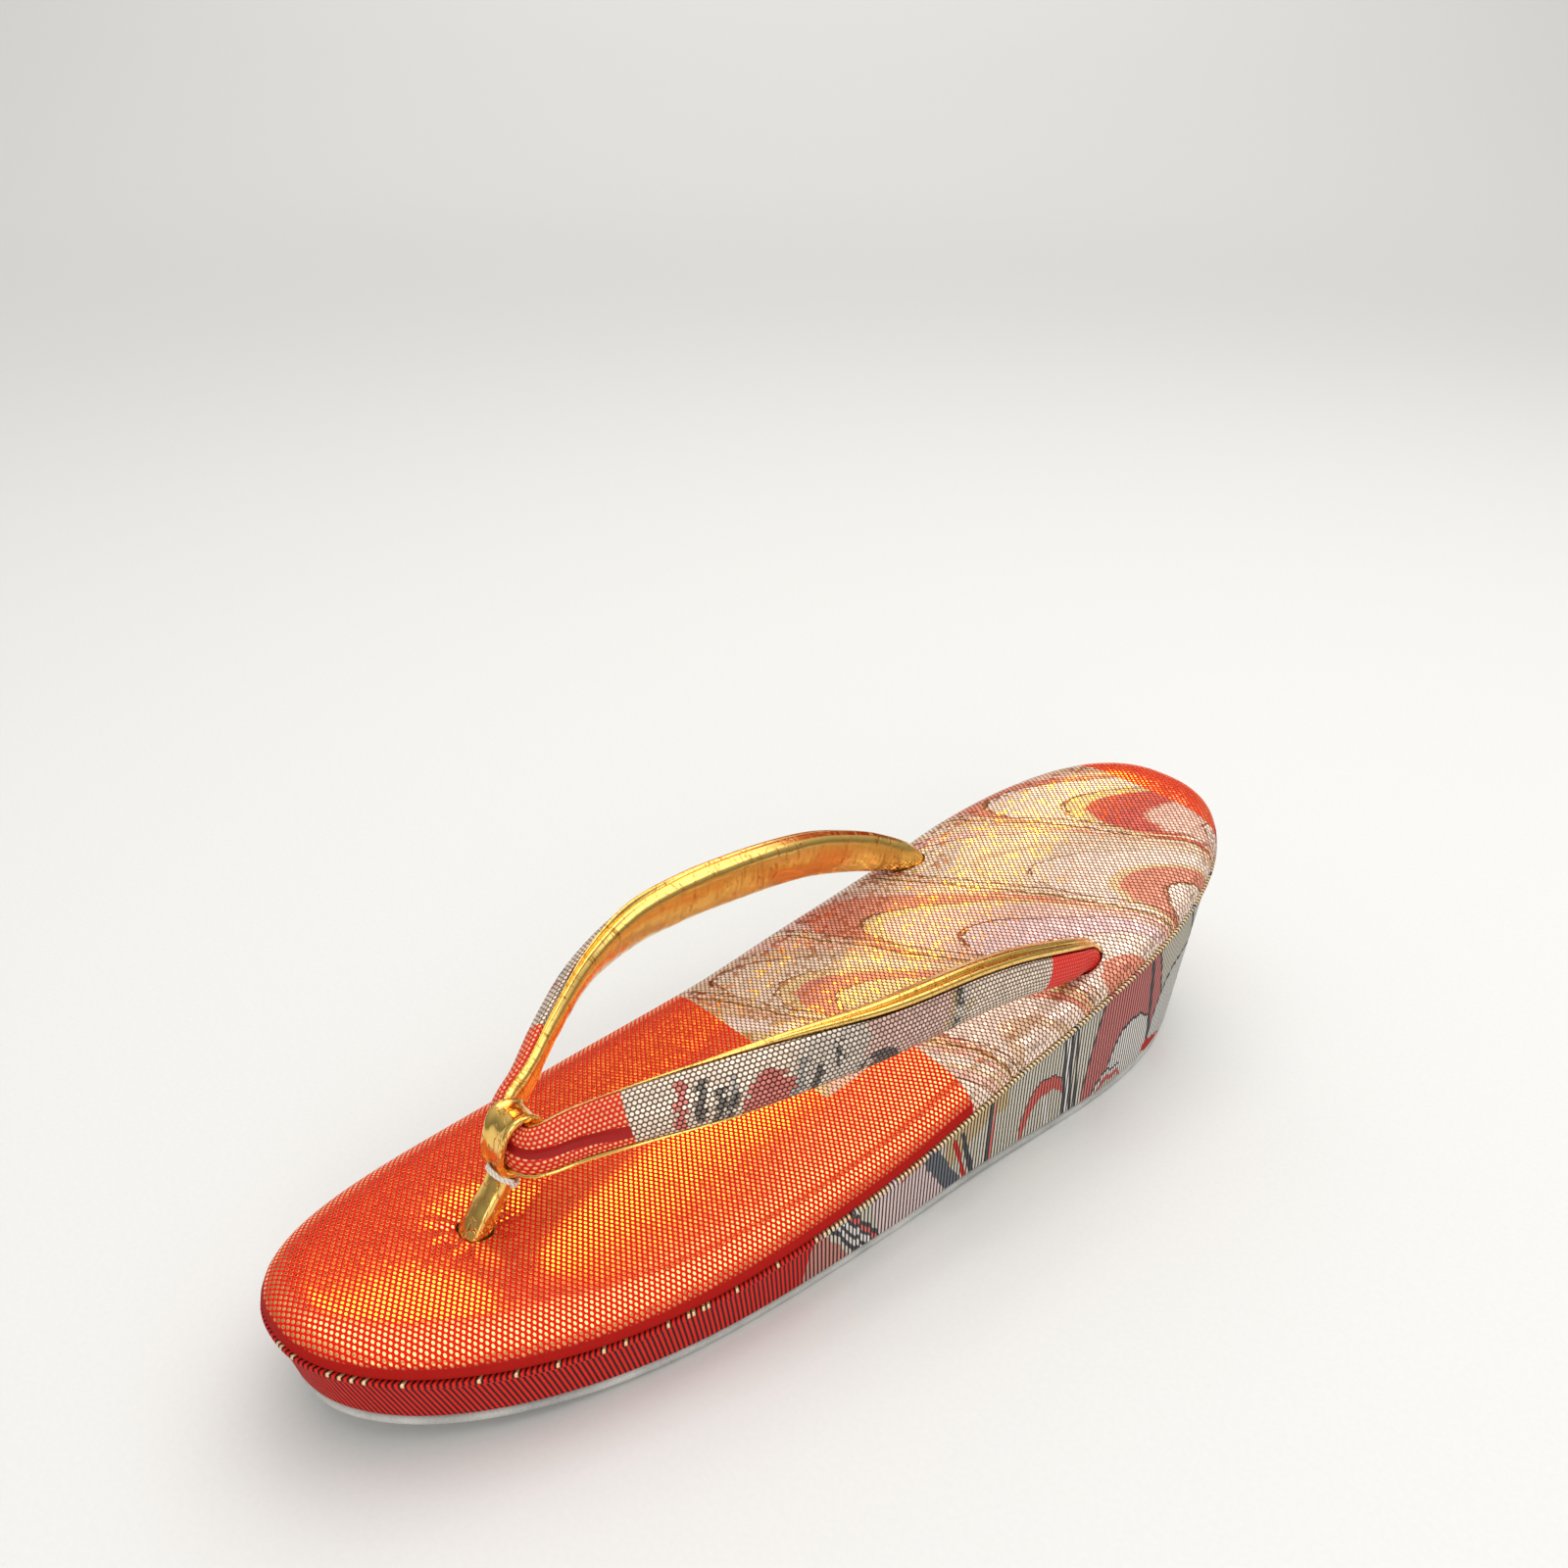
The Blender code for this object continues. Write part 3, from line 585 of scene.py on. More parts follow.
def marbled(node, place):
    """The colour of the bed's marbling at that place on the cloth, in millimetres."""
    haze = node("TexNoise", place, 1 / WANDER_GRAIN, 2.0).outputs["Color"]
    sway = node("VectorMath ADD", haze, EITHER_WAY)
    drift = node("VectorMath SCALE", sway, MARBLING_WANDER)
    moved = node("VectorMath ADD", place, drift)
    turned = node("Mapping", moved, Rotation=(0, 0, -math.radians(MARBLING_TURN)))
    down, across, _ = node("SeparateXYZ", turned).outputs
    offset = 0.5 - MARBLING_FIRST / MARBLING_PITCH
    place_in = node("Math MULTIPLY_ADD", across, 1 / MARBLING_PITCH, offset)
    column = node("Math FLOOR", place_in)
    side = node("Math FRACT", place_in)
    half = node("Math SUBTRACT", side, 0.5)
    bend = node("Math MULTIPLY_ADD", half, MARBLING_BOW, MARBLING_SKEW)
    bent = node("Math MULTIPLY", bend, half)
    edge = node("Math MULTIPLY", half, 2.0)
    edge = node("Math ABSOLUTE", edge)
    edge = node("Math POWER", edge, COMB_SHARPNESS)
    pulled = node("Math MULTIPLY_ADD", edge, MARBLING_COMB, bent)
    hung = node("Math MULTIPLY_ADD", column, MARBLING_SHIFT, pulled)
    depth = node("Math SUBTRACT", down, hung)
    share = node("MapRange", depth, MARBLING_START, MARBLING_END)
    colour = None
    for number, bands in MARBLING_COLUMNS:
        span = MARBLING_END - MARBLING_START
        stops = [((at - MARBLING_START) / span, tint) for at, tint in with_lines(bands)]
        band = node("ValToRGB", share, stops=stops)
        if colour:
            here = node("Math GREATER_THAN", column, number - 0.5)
            band = node("Mix RGBA", here, colour, band)
        colour = band
    line = node("ValToRGB", side, stops=MARBLING_LINES)
    return node("Mix RGBA", line.outputs["Alpha"], colour, line)


def woven_dots(node, place, pitch, row, size):
    """Dots in staggered rows: how far out in the nearest one (1 is its rim), its tilt and a chance."""
    even = node("VectorMath MULTIPLY", place, (1 / pitch, 1 / row, 0))
    along, across, _ = node("SeparateXYZ", even).outputs
    line = node("Math ROUND", across)
    half = node("Math MULTIPLY", line, 0.5)
    stagger = node("Math FRACT", half)
    step = node("Math SUBTRACT", along, stagger)
    step = node("Math ROUND", step)
    step = node("Math ADD", step, stagger)
    middle = node("CombineXYZ", step, line, 0.0)
    away = node("VectorMath SUBTRACT", even, middle)
    away = node("VectorMath MULTIPLY", away, (2 * pitch / size[0], 2 * row / size[1], 0))
    chance = node("TexWhiteNoise 2D", middle)
    lean = node("VectorMath ADD", chance.outputs["Color"], EITHER_WAY)
    return node("VectorMath LENGTH", away), node("VectorMath DOT_PRODUCT", away, lean), chance


# The foot bed's cloth: lamé brocade. Flat gold-film picks lie in staggered rows on bright red silk and
# mirror what they face, each tilted a little its own way, so they sparkle. Behind the ball they turn
# to silver-pink and carry the marbling, and only small dark gaps show between them.
BED_DOT_PITCH = 1.12      # mm along the sandal
BED_DOT_ROW = 0.86        # mm across it
BED_DOT_SIZE = (0.72, 0.98)
BED_RIM = (0.34, 0.76)    # how much wider a pick is on the marbling, and its rim on the red
SILK_RED = linear("#d01406")
LAME_GOLD = linear("#f8d07e")
BED_GAPS = linear("#80604e")
BED_NUDGE = 1.1           # mm
BARE_PICKS = 0.83         # share of the marbled picks that aren't
LEVELNESS = "levelness"   # 1 where the bed lies level, 0 where it stands upright
PICKS_END = (0.42, 0.74)  # levelness where the red part has no picks, and where it has all
MARBLED_FROM = -10.6      # mm from the sandal's middle, on the inner part
MARBLED_STEP = 21.6       # the near strip of marbling starts that much further back
MARBLED_STEP_AT = 16.0
MARBLED_TO = 106.0


def bed_brocade():
    made, node, shader = finish_named("lame_brocade_red_and_marbled")
    place = node("UVMap", uv_map=UV_MAP)
    out, tilt, chance = woven_dots(node, place, BED_DOT_PITCH, BED_DOT_ROW, BED_DOT_SIZE)
    back, near, _ = node("SeparateXYZ", place).outputs
    strip = node("Math GREATER_THAN", near, MARBLED_STEP_AT)
    start = node("Math MULTIPLY_ADD", strip, MARBLED_STEP, MARBLED_FROM)
    behind = node("Math GREATER_THAN", back, start)
    before = node("Math LESS_THAN", back, MARBLED_TO)
    zone = node("Math MULTIPLY", behind, before)
    # each pick takes the colour of a spot a little beside it, so outlines are woven, not drawn
    nudge = node("Math MULTIPLY", chance, BED_NUDGE)
    motif = marbled(node, node("VectorMath ADD", place, nudge))
    dot_tint = node("Mix RGBA", zone, LAME_GOLD, motif)
    dark = node("Mix RGBA", 1.0, motif, BED_GAPS, blend_type="MULTIPLY")
    gap_tint = node("Mix RGBA", zone, SILK_RED, dark)
    # the picks are wider where they carry the marbling
    rim = node("Math MULTIPLY_ADD", zone, *BED_RIM)
    inside = node("Math SUBTRACT", rim, out)
    pick = node("MapRange SMOOTHSTEP", inside, -0.10, 0.14)
    # painted shade: the red part has no picks in its last millimetre, where it turns down to the seam, and
    # its red is darkened there in place of the shade under its rolled edge
    level = node("Attribute", attribute_name=LEVELNESS).outputs["Fac"]
    top = node("MapRange SMOOTHSTEP", level, *PICKS_END)
    top = node("Math MAXIMUM", top, zone)
    pick = node("Math MULTIPLY", pick, top)
    # painted shade: the red between the picks is darkened to 0.55 where the cloth stands upright
    shade = node("MapRange", top, 0, 1, 0.55, 1.0)
    gap_tint = node("HueSaturation", Color=gap_tint, Value=shade)
    shine = node("MapRange", chance, 0, 1, 0.80, 1.16)
    lit = node("HueSaturation", Color=dot_tint, Value=shine)
    tint = node("Mix RGBA", pick, gap_tint, lit)
    # of the silver-pink picks a few are bare gold film
    bare = node("Math GREATER_THAN", chance, BARE_PICKS)
    bare = node("MapRange", bare, 0, 1, 0.12, 0.85)
    metal = node("Mix", zone, 1.0, bare)
    metal = node("Math MULTIPLY", metal, pick)
    rough = node("MapRange", pick, 0, 1, 0.70, 0.14)
    rough = node("Math MULTIPLY_ADD", chance, 0.05, rough)
    relief = node("Math MULTIPLY_ADD", tilt, 0.32, pick)
    bump = node("Bump", Strength=0.8, Distance=0.00005, Height=relief)
    feed(shader, Base_Color=tint, Metallic=metal, Roughness=rough, Normal=bump, Specular_IOR_Level=0.15)
    return made


# The side's cloth: ribbed brocade. Ribs of twisted silk a millimetre apart run down the side with
# dark gaps between them, red in front and marbled towards the heel, where the pattern repeats.
RIB_PITCH = 1.0           # mm
RIB_LEAN = 0.28           # the ribs lean back towards the ground
RIB_GAPS = linear("#362b28")
# the fold's picks: gold film, painted pale as a highlight where the fold's crest catches the light
FOLD_GOLD_AND_HIGHLIGHT = linear("#f2cf9a")
SIDE_RED_TO = 102.0       # mm round the seam from the toe, on the outer side
SIDE_RED_FROM = 440.0     # the same on the inner side
SIDE_REPEAT = 148.5       # mm
SIDE_NUDGE = 1.1          # mm
FOLD_LINE = (0.55, 0.22)  # mm from the seam to the fold's picks, and half their length
FEW_PICKS = (0.12, 0.76)  # share of the fold's picks left out, on the marbling and on the red


def side_brocade():
    made, node, shader = finish_named("ribbed_silk_brocade")
    place = node("UVMap", uv_map=UV_MAP)
    lean = node("VectorMath DOT_PRODUCT", place, (1 / RIB_PITCH, -RIB_LEAN / RIB_PITCH, 0))
    number = node("Math ROUND", lean)
    aside = node("Math SUBTRACT", lean, number)
    across, below, _ = node("SeparateXYZ", place).outputs
    wound = node("Math WRAP", across, SIDE_RED_TO + SIDE_REPEAT, SIDE_RED_TO)
    # every rib starts its colours a little higher or lower than the next one
    chance = node("TexWhiteNoise 1D", number)
    started = node("Math MULTIPLY_ADD", chance, SIDE_NUDGE, below)
    motif = laid(node, node("CombineXYZ", wound, started, 0.0), OLIVE, SIDE_DROPS)
    front = node("Math LESS_THAN", across, SIDE_RED_TO)
    back = node("Math GREATER_THAN", across, SIDE_RED_FROM)
    red = node("Math MAXIMUM", front, back)
    rib_tint = node("Mix RGBA", red, motif, CRIMSON)
    dark = node("Mix RGBA", 1.0, rib_tint, RIB_GAPS, blend_type="MULTIPLY")
    high = node("Math ABSOLUTE", aside)
    rib = node("MapRange SMOOTHSTEP", high, 0.40, 0.16)
    tint = node("Mix RGBA", rib, dark, rib_tint)
    grain = node("TexNoise", place, 1.6, 3.0)
    uneven = node("MapRange", grain, 0, 1, 0.84, 1.16)
    tint = node("HueSaturation", Color=tint, Value=uneven)
    # the folded edge shows short picks of gold film, few in front and nearly a line of them behind; painted
    # pale on the fold's crest, they are partly the film's own colour and partly a painted highlight where
    # the fold catches the light
    few = node("MapRange", red, 0, 1, *FEW_PICKS)
    seen = node("Math GREATER_THAN", chance, few)
    edge = node("Math COMPARE", below, *FOLD_LINE)
    glint = node("Math MULTIPLY", seen, edge)
    glint = node("Math MULTIPLY", glint, rib)
    tint = node("Mix RGBA", glint, tint, FOLD_GOLD_AND_HIGHLIGHT)
    metal = node("MapRange", glint, 0, 1, 0.0, 0.6)
    rough = node("MapRange", glint, 0, 1, 0.75, 0.3)
    relief = node("Math MULTIPLY_ADD", grain, 0.35, rib)
    bump = node("Bump", Strength=0.9, Distance=0.00016, Height=relief)
    feed(shader, Base_Color=tint, Metallic=metal, Roughness=rough, Normal=bump, Specular_IOR_Level=0.3)
    return made


# The strap's cloth: the same brocade cut narrow. Silver-pink and cream picks with short brushed strokes
# of each colour; red with rows of pale picks beside the thong and plain red where it enters the hole.
STRAP_DOT_PITCH = 0.98    # mm along the strap
STRAP_DOT_ROW = 0.84
STRAP_DOT_SIZE = (0.82, 0.74)
STRAP_RED_TO = 24.0       # mm from the thong
STRAP_RED_FROM = 118.0
STRAP_REACH = 160.0
STRAP_NUDGE = 1.3
STROKE_SHARE = 0.80       # how much of the strokes' colour the picks over them take
ICE = linear("#eddcc8")
DUSK = linear("#2b2422")
ROSEWOOD = linear("#d0544a")
HEATHER = linear("#dfbbae")
ASHEN = linear("#d9cfc1")
STRAP_GAPS = linear("#6a503f")
STRAP_RED = linear("#c81c10")
# a darker red, painted in the pinched groove as its shade
GROOVE_SHADE_RED = linear("#9a120c")
FRONT_PICKS = linear("#f2b97c")
REAR_PICKS = linear("#e8412c")
STRAP_BANDS = ((0.0, ICE), (56, ASHEN), (70, HEATHER), (89.5, STRAW), (91, ASHEN), (95, ICE))
STRAP_DROPS = (
    # like SIDE_DROPS: mm from the thong, mm below the strap's middle line
    (36.4, -4.0, 105, 0.9, 0.20, ((0, ROSEWOOD), (9, CLEAR))),
    (40.0, -3.2, 108, 0.9, 0.30, ((0, DUSK), (8, CLEAR))),
    (42.6, -1.0, 108, 0.8, 0.30, ((0, DUSK),)),
    (45.2, -2.6, 110, 0.7, 0.30, ((0, ASH),)),
    (44.4, 0.8, 112, 0.6, 0.30, ((0, DUSK),)),
    (50.8, -1.8, 92, 5.4, 0.22, ((0, ROSEWOOD),)),
    (57.6, -1.6, 112, 0.9, 0.30, ((0, ASH),)),
    (60.2, 0.6, 112, 0.7, 0.30, ((0, DUSK),)),
    (64.5, -2.8, 106, 0.5, 0.30, ((0, DUSK), (5, CLEAR))),
    (73.0, 1.6, 96, 5.0, 0.10, ((0, DUSK),)),
    (70.5, 3.0, 110, 0.8, 0.10, ((0, ICE),)),
    (93.0, -3.6, 102, 0.8, 0.20, ((0, DUSK), (3.4, OLIVE), (5.6, DUSK))),
    (95.5, -0.8, 104, 0.6, 0.20, ((0, STRAW),)),
)
GROOVE_START = -1.2       # mm below the middle line, at the thong
GROOVE_FALL = 0.14        # mm further down for each mm along the strap
GROOVE_HALF = 1.2


def strap_brocade():
    made, node, shader = finish_named("strap_lame_brocade")
    place = node("UVMap", uv_map=UV_MAP)
    out, tilt, chance = woven_dots(node, place, STRAP_DOT_PITCH, STRAP_DOT_ROW, STRAP_DOT_SIZE)
    along, below, _ = node("SeparateXYZ", place).outputs
    run = node("Math ABSOLUTE", along)
    haze = node("TexNoise", place, 0.7, 3.0)
    brushed = node("Math MULTIPLY_ADD", haze, 2.4, run)
    brushed = node("Math MULTIPLY_ADD", chance, STRAP_NUDGE, brushed)
    slant = node("Math MULTIPLY_ADD", below, 0.35, brushed)
    share = node("Math MULTIPLY", slant, 1 / STRAP_REACH)
    ground = node("ValToRGB", share, stops=[(at / STRAP_REACH, tint) for at, tint in STRAP_BANDS])
    motif = laid(node, node("CombineXYZ", brushed, below, 0.0), ground, STRAP_DROPS)
    front = node("Math LESS_THAN", run, STRAP_RED_TO)
    rear = node("Math GREATER_THAN", run, STRAP_RED_FROM)
    red = node("Math MAXIMUM", front, rear)
    # the strokes lie under the picks, which take only part of their colour
    dot_tint = node("Mix RGBA", STROKE_SHARE, ground, motif)
    dot_tint = node("Mix RGBA", front, dot_tint, FRONT_PICKS)
    dot_tint = node("Mix RGBA", rear, dot_tint, REAR_PICKS)
    dark = node("Mix RGBA", 1.0, motif, STRAP_GAPS, blend_type="MULTIPLY")
    gap_tint = node("Mix RGBA", red, dark, STRAP_RED)
    # painted shade in the pinched groove: a darker red, and no picks show there
    line = node("Math MULTIPLY_ADD", run, GROOVE_FALL, GROOVE_START)
    groove = node("Math COMPARE", below, line, GROOVE_HALF)
    groove = node("Math MULTIPLY", groove, front)
    gap_tint = node("Mix RGBA", groove, gap_tint, GROOVE_SHADE_RED)
    # the picks are smaller where the cloth is red
    wide = node("Math MULTIPLY_ADD", red, 0.24, out)
    pick = node("MapRange SMOOTHSTEP", wide, 1.06, 0.80)
    pick = node("Math SUBTRACT", pick, groove, use_clamp=True)
    shine = node("MapRange", chance, 0, 1, 0.80, 1.14)
    lit = node("HueSaturation", Color=dot_tint, Value=shine)
    tint = node("Mix RGBA", pick, gap_tint, lit)
    metal = node("Math MULTIPLY", pick, 0.28)
    rough = node("MapRange", pick, 0, 1, 0.62, 0.30)
    relief = node("Math MULTIPLY_ADD", tilt, 0.5, pick)
    bump = node("Bump", Strength=0.9, Distance=0.00008, Height=relief)
    feed(shader, Base_Color=tint, Metallic=metal, Roughness=rough, Normal=bump, Specular_IOR_Level=0.3)
    return made


# Leather with a gold foil finish: bright and smooth, with fine dark creases in the foil. On the strap
# they run along it, on the cloth map in mm, and on the thong they are crushed, in its own space in m.
FOIL = linear("#f8cc70")
FOIL_CREASE = linear("#c98d3c")
LINING_CREASES = (0.50, 0.10, 0)      # creases in one mm each way
THONG_CREASES = (400, 260, 260)       # creases in one m each way
LINING_CREASE_DEPTH = 0.00008
THONG_CREASE_DEPTH = 0.00030


def gold_foil(name, mapped, creases, depth):
    made, node, shader = finish_named(name)
    place = node("UVMap", uv_map=UV_MAP) if mapped else node("TexCoord").outputs["Object"]
    even = node("VectorMath MULTIPLY", place, creases)
    crinkle = node("TexNoise", even, 1.0, 3.0, Distortion=0.8)
    level = node("Math SUBTRACT", crinkle, 0.5)
    level = node("Math ABSOLUTE", level)
    smooth = node("MapRange SMOOTHSTEP", level, 0.0, 0.022)
    swell = node("TexNoise", even, 0.35, 1.0)
    relief = node("Math MULTIPLY_ADD", smooth, 0.35, swell)
    tint = node("Mix RGBA", smooth, FOIL_CREASE, FOIL)
    bump = node("Bump", Strength=0.8, Distance=depth, Height=relief)
    feed(shader, Base_Color=tint, Metallic=1.0, Roughness=0.2, Normal=bump)
    return made


# Two-ply cotton thread: off-white, matt, with the twist showing as fine slanted lines.
def cotton_thread():
    made, node, shader = finish_named("cotton_thread")
    place = node("UVMap", uv_map=UV_MAP)
    twist = node("TexWave", place, 0.7, 0.4, bands_direction="DIAGONAL")
    tint = node("Mix RGBA", twist, linear("#c9bfae"), linear("#f1ebdf"))
    bump = node("Bump", Strength=0.8, Distance=0.00008, Height=twist)
    feed(shader, Base_Color=tint, Roughness=0.8, Normal=bump, Sheen_Weight=0.3)
    return made


# Split leather: pale grey, dull, with a fine nap and faint scuffs.
def sole_leather():
    made, node, shader = finish_named("split_leather_grey")
    place = node("TexCoord").outputs["Object"]
    nap = node("TexNoise", place, 2600.0, 3.0)
    stain = node("TexNoise", place, 90.0, 4.0)
    mixed = node("Math MULTIPLY_ADD", nap, 0.4, stain)
    worn = node("MapRange", mixed, 0.45, 0.95)
    tint = node("Mix RGBA", worn, linear("#8d8c88"), linear("#c9c7c0"))
    bump = node("Bump", Strength=0.6, Distance=0.00010, Height=nap)
    feed(shader, Base_Color=tint, Roughness=0.85, Normal=bump)
    return made


# Seamless studio paper: pale, even and matt.
def studio_paper():
    made, node, shader = finish_named("studio_paper")
    fibre = node("TexNoise", node("TexCoord").outputs["Object"], 900.0)
    tint = node("Mix RGBA", fibre, linear("#d6d4d0"), linear("#dcdad6"))
    feed(shader, Base_Color=tint, Roughness=0.9)
    return made


# Pieces
def lengths_along(points):
    """How far along each point lies, from the first."""
    run = [0.0]
    for a, b in zip(points, points[1:]):
        run.append(run[-1] + (b - a).length)
    return run


def make_outsole(finish):
    """The thin leather sheet that meets the ground, its edges slightly rounded."""
    edge = [taper + OUTSOLE_STEP for taper in (SIDE_TAPER, TOE_TAPER, HEEL_TAPER)]
    soft = OUTSOLE_THICKNESS / 4

    def level(lift):
        return lambda y: underside(y) + lift

    inner = [size + soft for size in edge]
    rings = list(reversed(inner_rings(*inner, level(0.0))))
    rings += [ring(*inner, level(0.0)), ring(*edge, level(soft))]
    rings += [ring(*edge, level(OUTSOLE_THICKNESS - soft)), ring(*inner, level(OUTSOLE_THICKNESS))]
    rings += inner_rings(*inner, level(OUTSOLE_THICKNESS))
    return dress(to_object("outsole_leather", loft(rings), finish), "outsole")


def make_side(finish, sockets):
    """The wedge in its side cloth, turned over in a rounded fold along the seam."""

    def floor(y):
        return underside(y) + OUTSOLE_THICKNESS + PART_GAP

    def lid(y):
        return seam_height(y) - PART_GAP / 2

    low = (SIDE_TAPER, TOE_TAPER, HEEL_TAPER)
    foot = ring(*low, floor)
    head = ring(0.0, 0.0, 0.0, lid)

    def wall(drop, proud):
        points = []
        for below, above in zip(foot, head):
            height = above.z - below.z
            away = Vector((above.x, above.y * BALL_WIDTH / SOLE_LENGTH, 0.0)).normalized()
            points.append(above.lerp(below, drop(height) / height) + away * proud)
        return points

    rings = list(reversed(inner_rings(*(t + WRAP_EDGE_RADIUS for t in low), floor)))
    for i in range(WRAP_STEPS + 1):
        turn = math.pi / 2 * i / WRAP_STEPS
        back = WRAP_EDGE_RADIUS * (1 - math.sin(turn))
        lift = WRAP_EDGE_RADIUS * (1 - math.cos(turn))
        rings.append(wall(lambda height: height - lift, -back))
    for i in range(1, WALL_STEPS):
        share = 1 - i / WALL_STEPS
        rings.append(wall(lambda height: between(FOLD_DEPTH, height - WRAP_EDGE_RADIUS, share), 0.0))
    for i in range(FOLD_STEPS + 1):
        share = i / FOLD_STEPS
        proud = FOLD_PROUD * math.sin(math.pi * FOLD_ROUND * share) ** FOLD_FULLNESS
        rings.append(wall(lambda height: FOLD_DEPTH * (1 - share), proud))
    tuck = (PAD_TUCK, PAD_TUCK, PAD_TUCK)
    rings.append(ring(*tuck, lid))
    rings += inner_rings(*tuck, lid)
    seam = lengths_along([*head, head[0]])
    coords = []
    for points in rings:
        drops = [(h - p).length for h, p in zip(head, points)]
        coords.append(list(zip(seam, [*drops, drops[0]])))
    made = to_object("side_cloth", loft(rings, coords), finish)
    shape(made, sockets)
    return dress(made, "wedge")


def cloth_lift(x, y):
    """How the bed's cloth rises and falls: puckers round the holes and a slow unevenness."""
    across, along = SOFTNESS_GRAIN
    lift = SOFTNESS * noise.noise(Vector((x / across, y / along, BED_SLICE)))
    for hole_x, hole_y in HOLE_CENTRES:
        away = math.hypot(x - hole_x, y - hole_y)
        turn = math.atan2(y - hole_y, x - hole_x)
        fold = math.cos(PUCKER_COUNT * turn + PUCKER_WANDER * math.sin(2 * turn))
        lift += PUCKER * fold * math.exp(-(((away - PUCKER_REACH) / PUCKER_WIDTH) ** 2))
    return lift


def make_bed(finish, sockets):
    """The padded foot bed: a rolled edge, a slight crown and cloth drawn down round the holes."""

    def base(y):
        return seam_height(y) + PART_GAP / 2

    def top_ring(inset):
        points = ring(inset, inset, inset, seam_height)
        for p in points:
            p.z += pad_rise(inset) - dimple(p.x, p.y) + cloth_lift(p.x, p.y) * ease(inset / PAD_EDGE_ROLL)
        return points

    tuck = (PAD_TUCK, PAD_TUCK, PAD_TUCK)
    bulge = (-PAD_TUCK / 2, -PAD_TUCK / 2, -PAD_TUCK / 2)
    below = list(reversed(inner_rings(*tuck, base)))
    below += [ring(*tuck, base), ring(*bulge, lambda y: base(y) + PAD_LIP / 2)]
    turns = [math.pi / 2 * i / ROLL_STEPS for i in range(ROLL_STEPS + 1)]
    above = [top_ring(PAD_EDGE_ROLL * (1 - math.cos(turn))) for turn in turns]
    for i in range(1, CROWN_STEPS + 1):
        above.append(top_ring(between(PAD_EDGE_ROLL, BALL_WIDTH / 2, i / CROWN_STEPS)))
    rings = below + above
    flat = len(below) + ROLL_STEPS
    coords = [[Vector((p.y, p.x)) for p in points] for points in rings]
    # the cloth is unrolled from the flat top outwards over the rolled edge
    for k in range(flat - 1, len(below) - 3, -1):
        for i, (point, inner) in enumerate(zip(rings[k], rings[k + 1])):
            away = (rings[flat][i] - rings[flat + 1][i]).yx.normalized()
            coords[k][i] = coords[k + 1][i] + away * (point - inner).length
    coords = [[*row, row[0]] for row in coords]
    made = to_object("foot_bed_cloth", loft(rings, coords), finish)
    shape(made, sockets)
    levelness = made.data.attributes.new(LEVELNESS, "FLOAT", "POINT")
    for vert, value in zip(made.data.vertices, levelness.data):
        value.value = vert.normal.z
    return dress(made, "foot_bed")


APEX = hole_centre(0.0, FRONT_HOLE_Y) + Vector((0.0, THONG_LEAN, THONG_RISE))
APEX_WIDTH = STRAP_WIDTH * APEX_WIDTH_SHARE
APEX_THICKNESS = STRAP_THICKNESS * APEX_THICKNESS_SHARE


def arm_stations():
    """The right arm's stations, from the middle of the thong's loop to the end in the rear socket."""
    straight = (BAND_WIDTH - BEND_RADIUS) / 2
    radius = BEND_RADIUS + APEX_THICKNESS / 2
    stations = [Station(APEX, APEX_WIDTH, APEX_THICKNESS, APEX_TILT)]
    for i in range(BEND_STEPS + 1):
        share = i / BEND_STEPS
        turn = math.radians(BEND_ANGLE) * share
        climb = radius * turn * math.tan(math.radians(BEND_CLIMB)) * share / 2
        move = Vector((straight + radius * math.sin(turn), radius * (1 - math.cos(turn)), climb))
        stations.append(Station(APEX + move, APEX_WIDTH, APEX_THICKNESS, APEX_TILT))
    for run, spread, rise, width, thickness, tilt in STRAP_STATIONS:
        y = between(APEX.y, REAR_HOLE_Y, run)
        z = seam_height(y) + PAD_EDGE_HEIGHT + PAD_CROWN + STRAP_RISE * rise
        centre = Vector((STRAP_SPREAD * spread, y, z))
        stations.append(Station(centre, STRAP_WIDTH * width, STRAP_THICKNESS * thickness, tilt))
    hole = hole_centre(REAR_HOLE_OFFSET, REAR_HOLE_Y)
    depth = STRAP_SOCKET_SHARE * sole_depth(REAR_HOLE_OFFSET, REAR_HOLE_Y)
    width = STRAP_WIDTH * HOLE_WIDTH_SHARE
    thickness = STRAP_THICKNESS * HOLE_THICKNESS_SHARE
    for share in (0.0, 0.5, 1.0):
        stations.append(Station(hole + SOCKET_SLOPE * depth * share, width, thickness, 0))
    return stations


def follow(stations):
    """Stations at about STRAP_STEP along a smooth curve through the given ones."""
    keys = lengths_along([s.centre for s in stations])
    columns = list(zip(*[(*s.centre, s.width, s.thickness, s.tilt) for s in stations]))
    places = []
    for low, high in zip(keys, keys[1:]):
        parts = max(round((high - low) / STRAP_STEP), 1)
        places += [between(low, high, i / parts) for i in range(parts)]
    made = []
    for at in [*places, keys[-1]]:
        x, y, z, width, thickness, tilt = (spline(keys, column, at) for column in columns)
        made.append(Station(Vector((x, y, z)), width, thickness, tilt))
    return made


def mirrored(s):
    """That station on the left arm."""
    return s._replace(centre=Vector((-s.centre.x, s.centre.y, s.centre.z)))


def sweep(stations, section):
    """Rings along the strap's stations, from section(station, how far along) in (across, out) pairs."""
    run = lengths_along([s.centre for s in stations])
    rings = []
    for i, s in enumerate(stations):
        before = stations[max(i - 1, 0)].centre
        after = stations[min(i + 1, len(stations) - 1)].centre
        along = (after - before).normalized()
        level_out = along.cross(Vector((0, 0, 1))).normalized()
        up = level_out.cross(along)
        tilt = math.radians(s.tilt)
        out = level_out * math.cos(tilt) + up * math.sin(tilt)
        across = up * math.cos(tilt) - level_out * math.sin(tilt)
        at = run[i] - run[-1] / 2
        rings.append([s.centre + across * a + out * o for a, o in section(s, at)])
    return rings


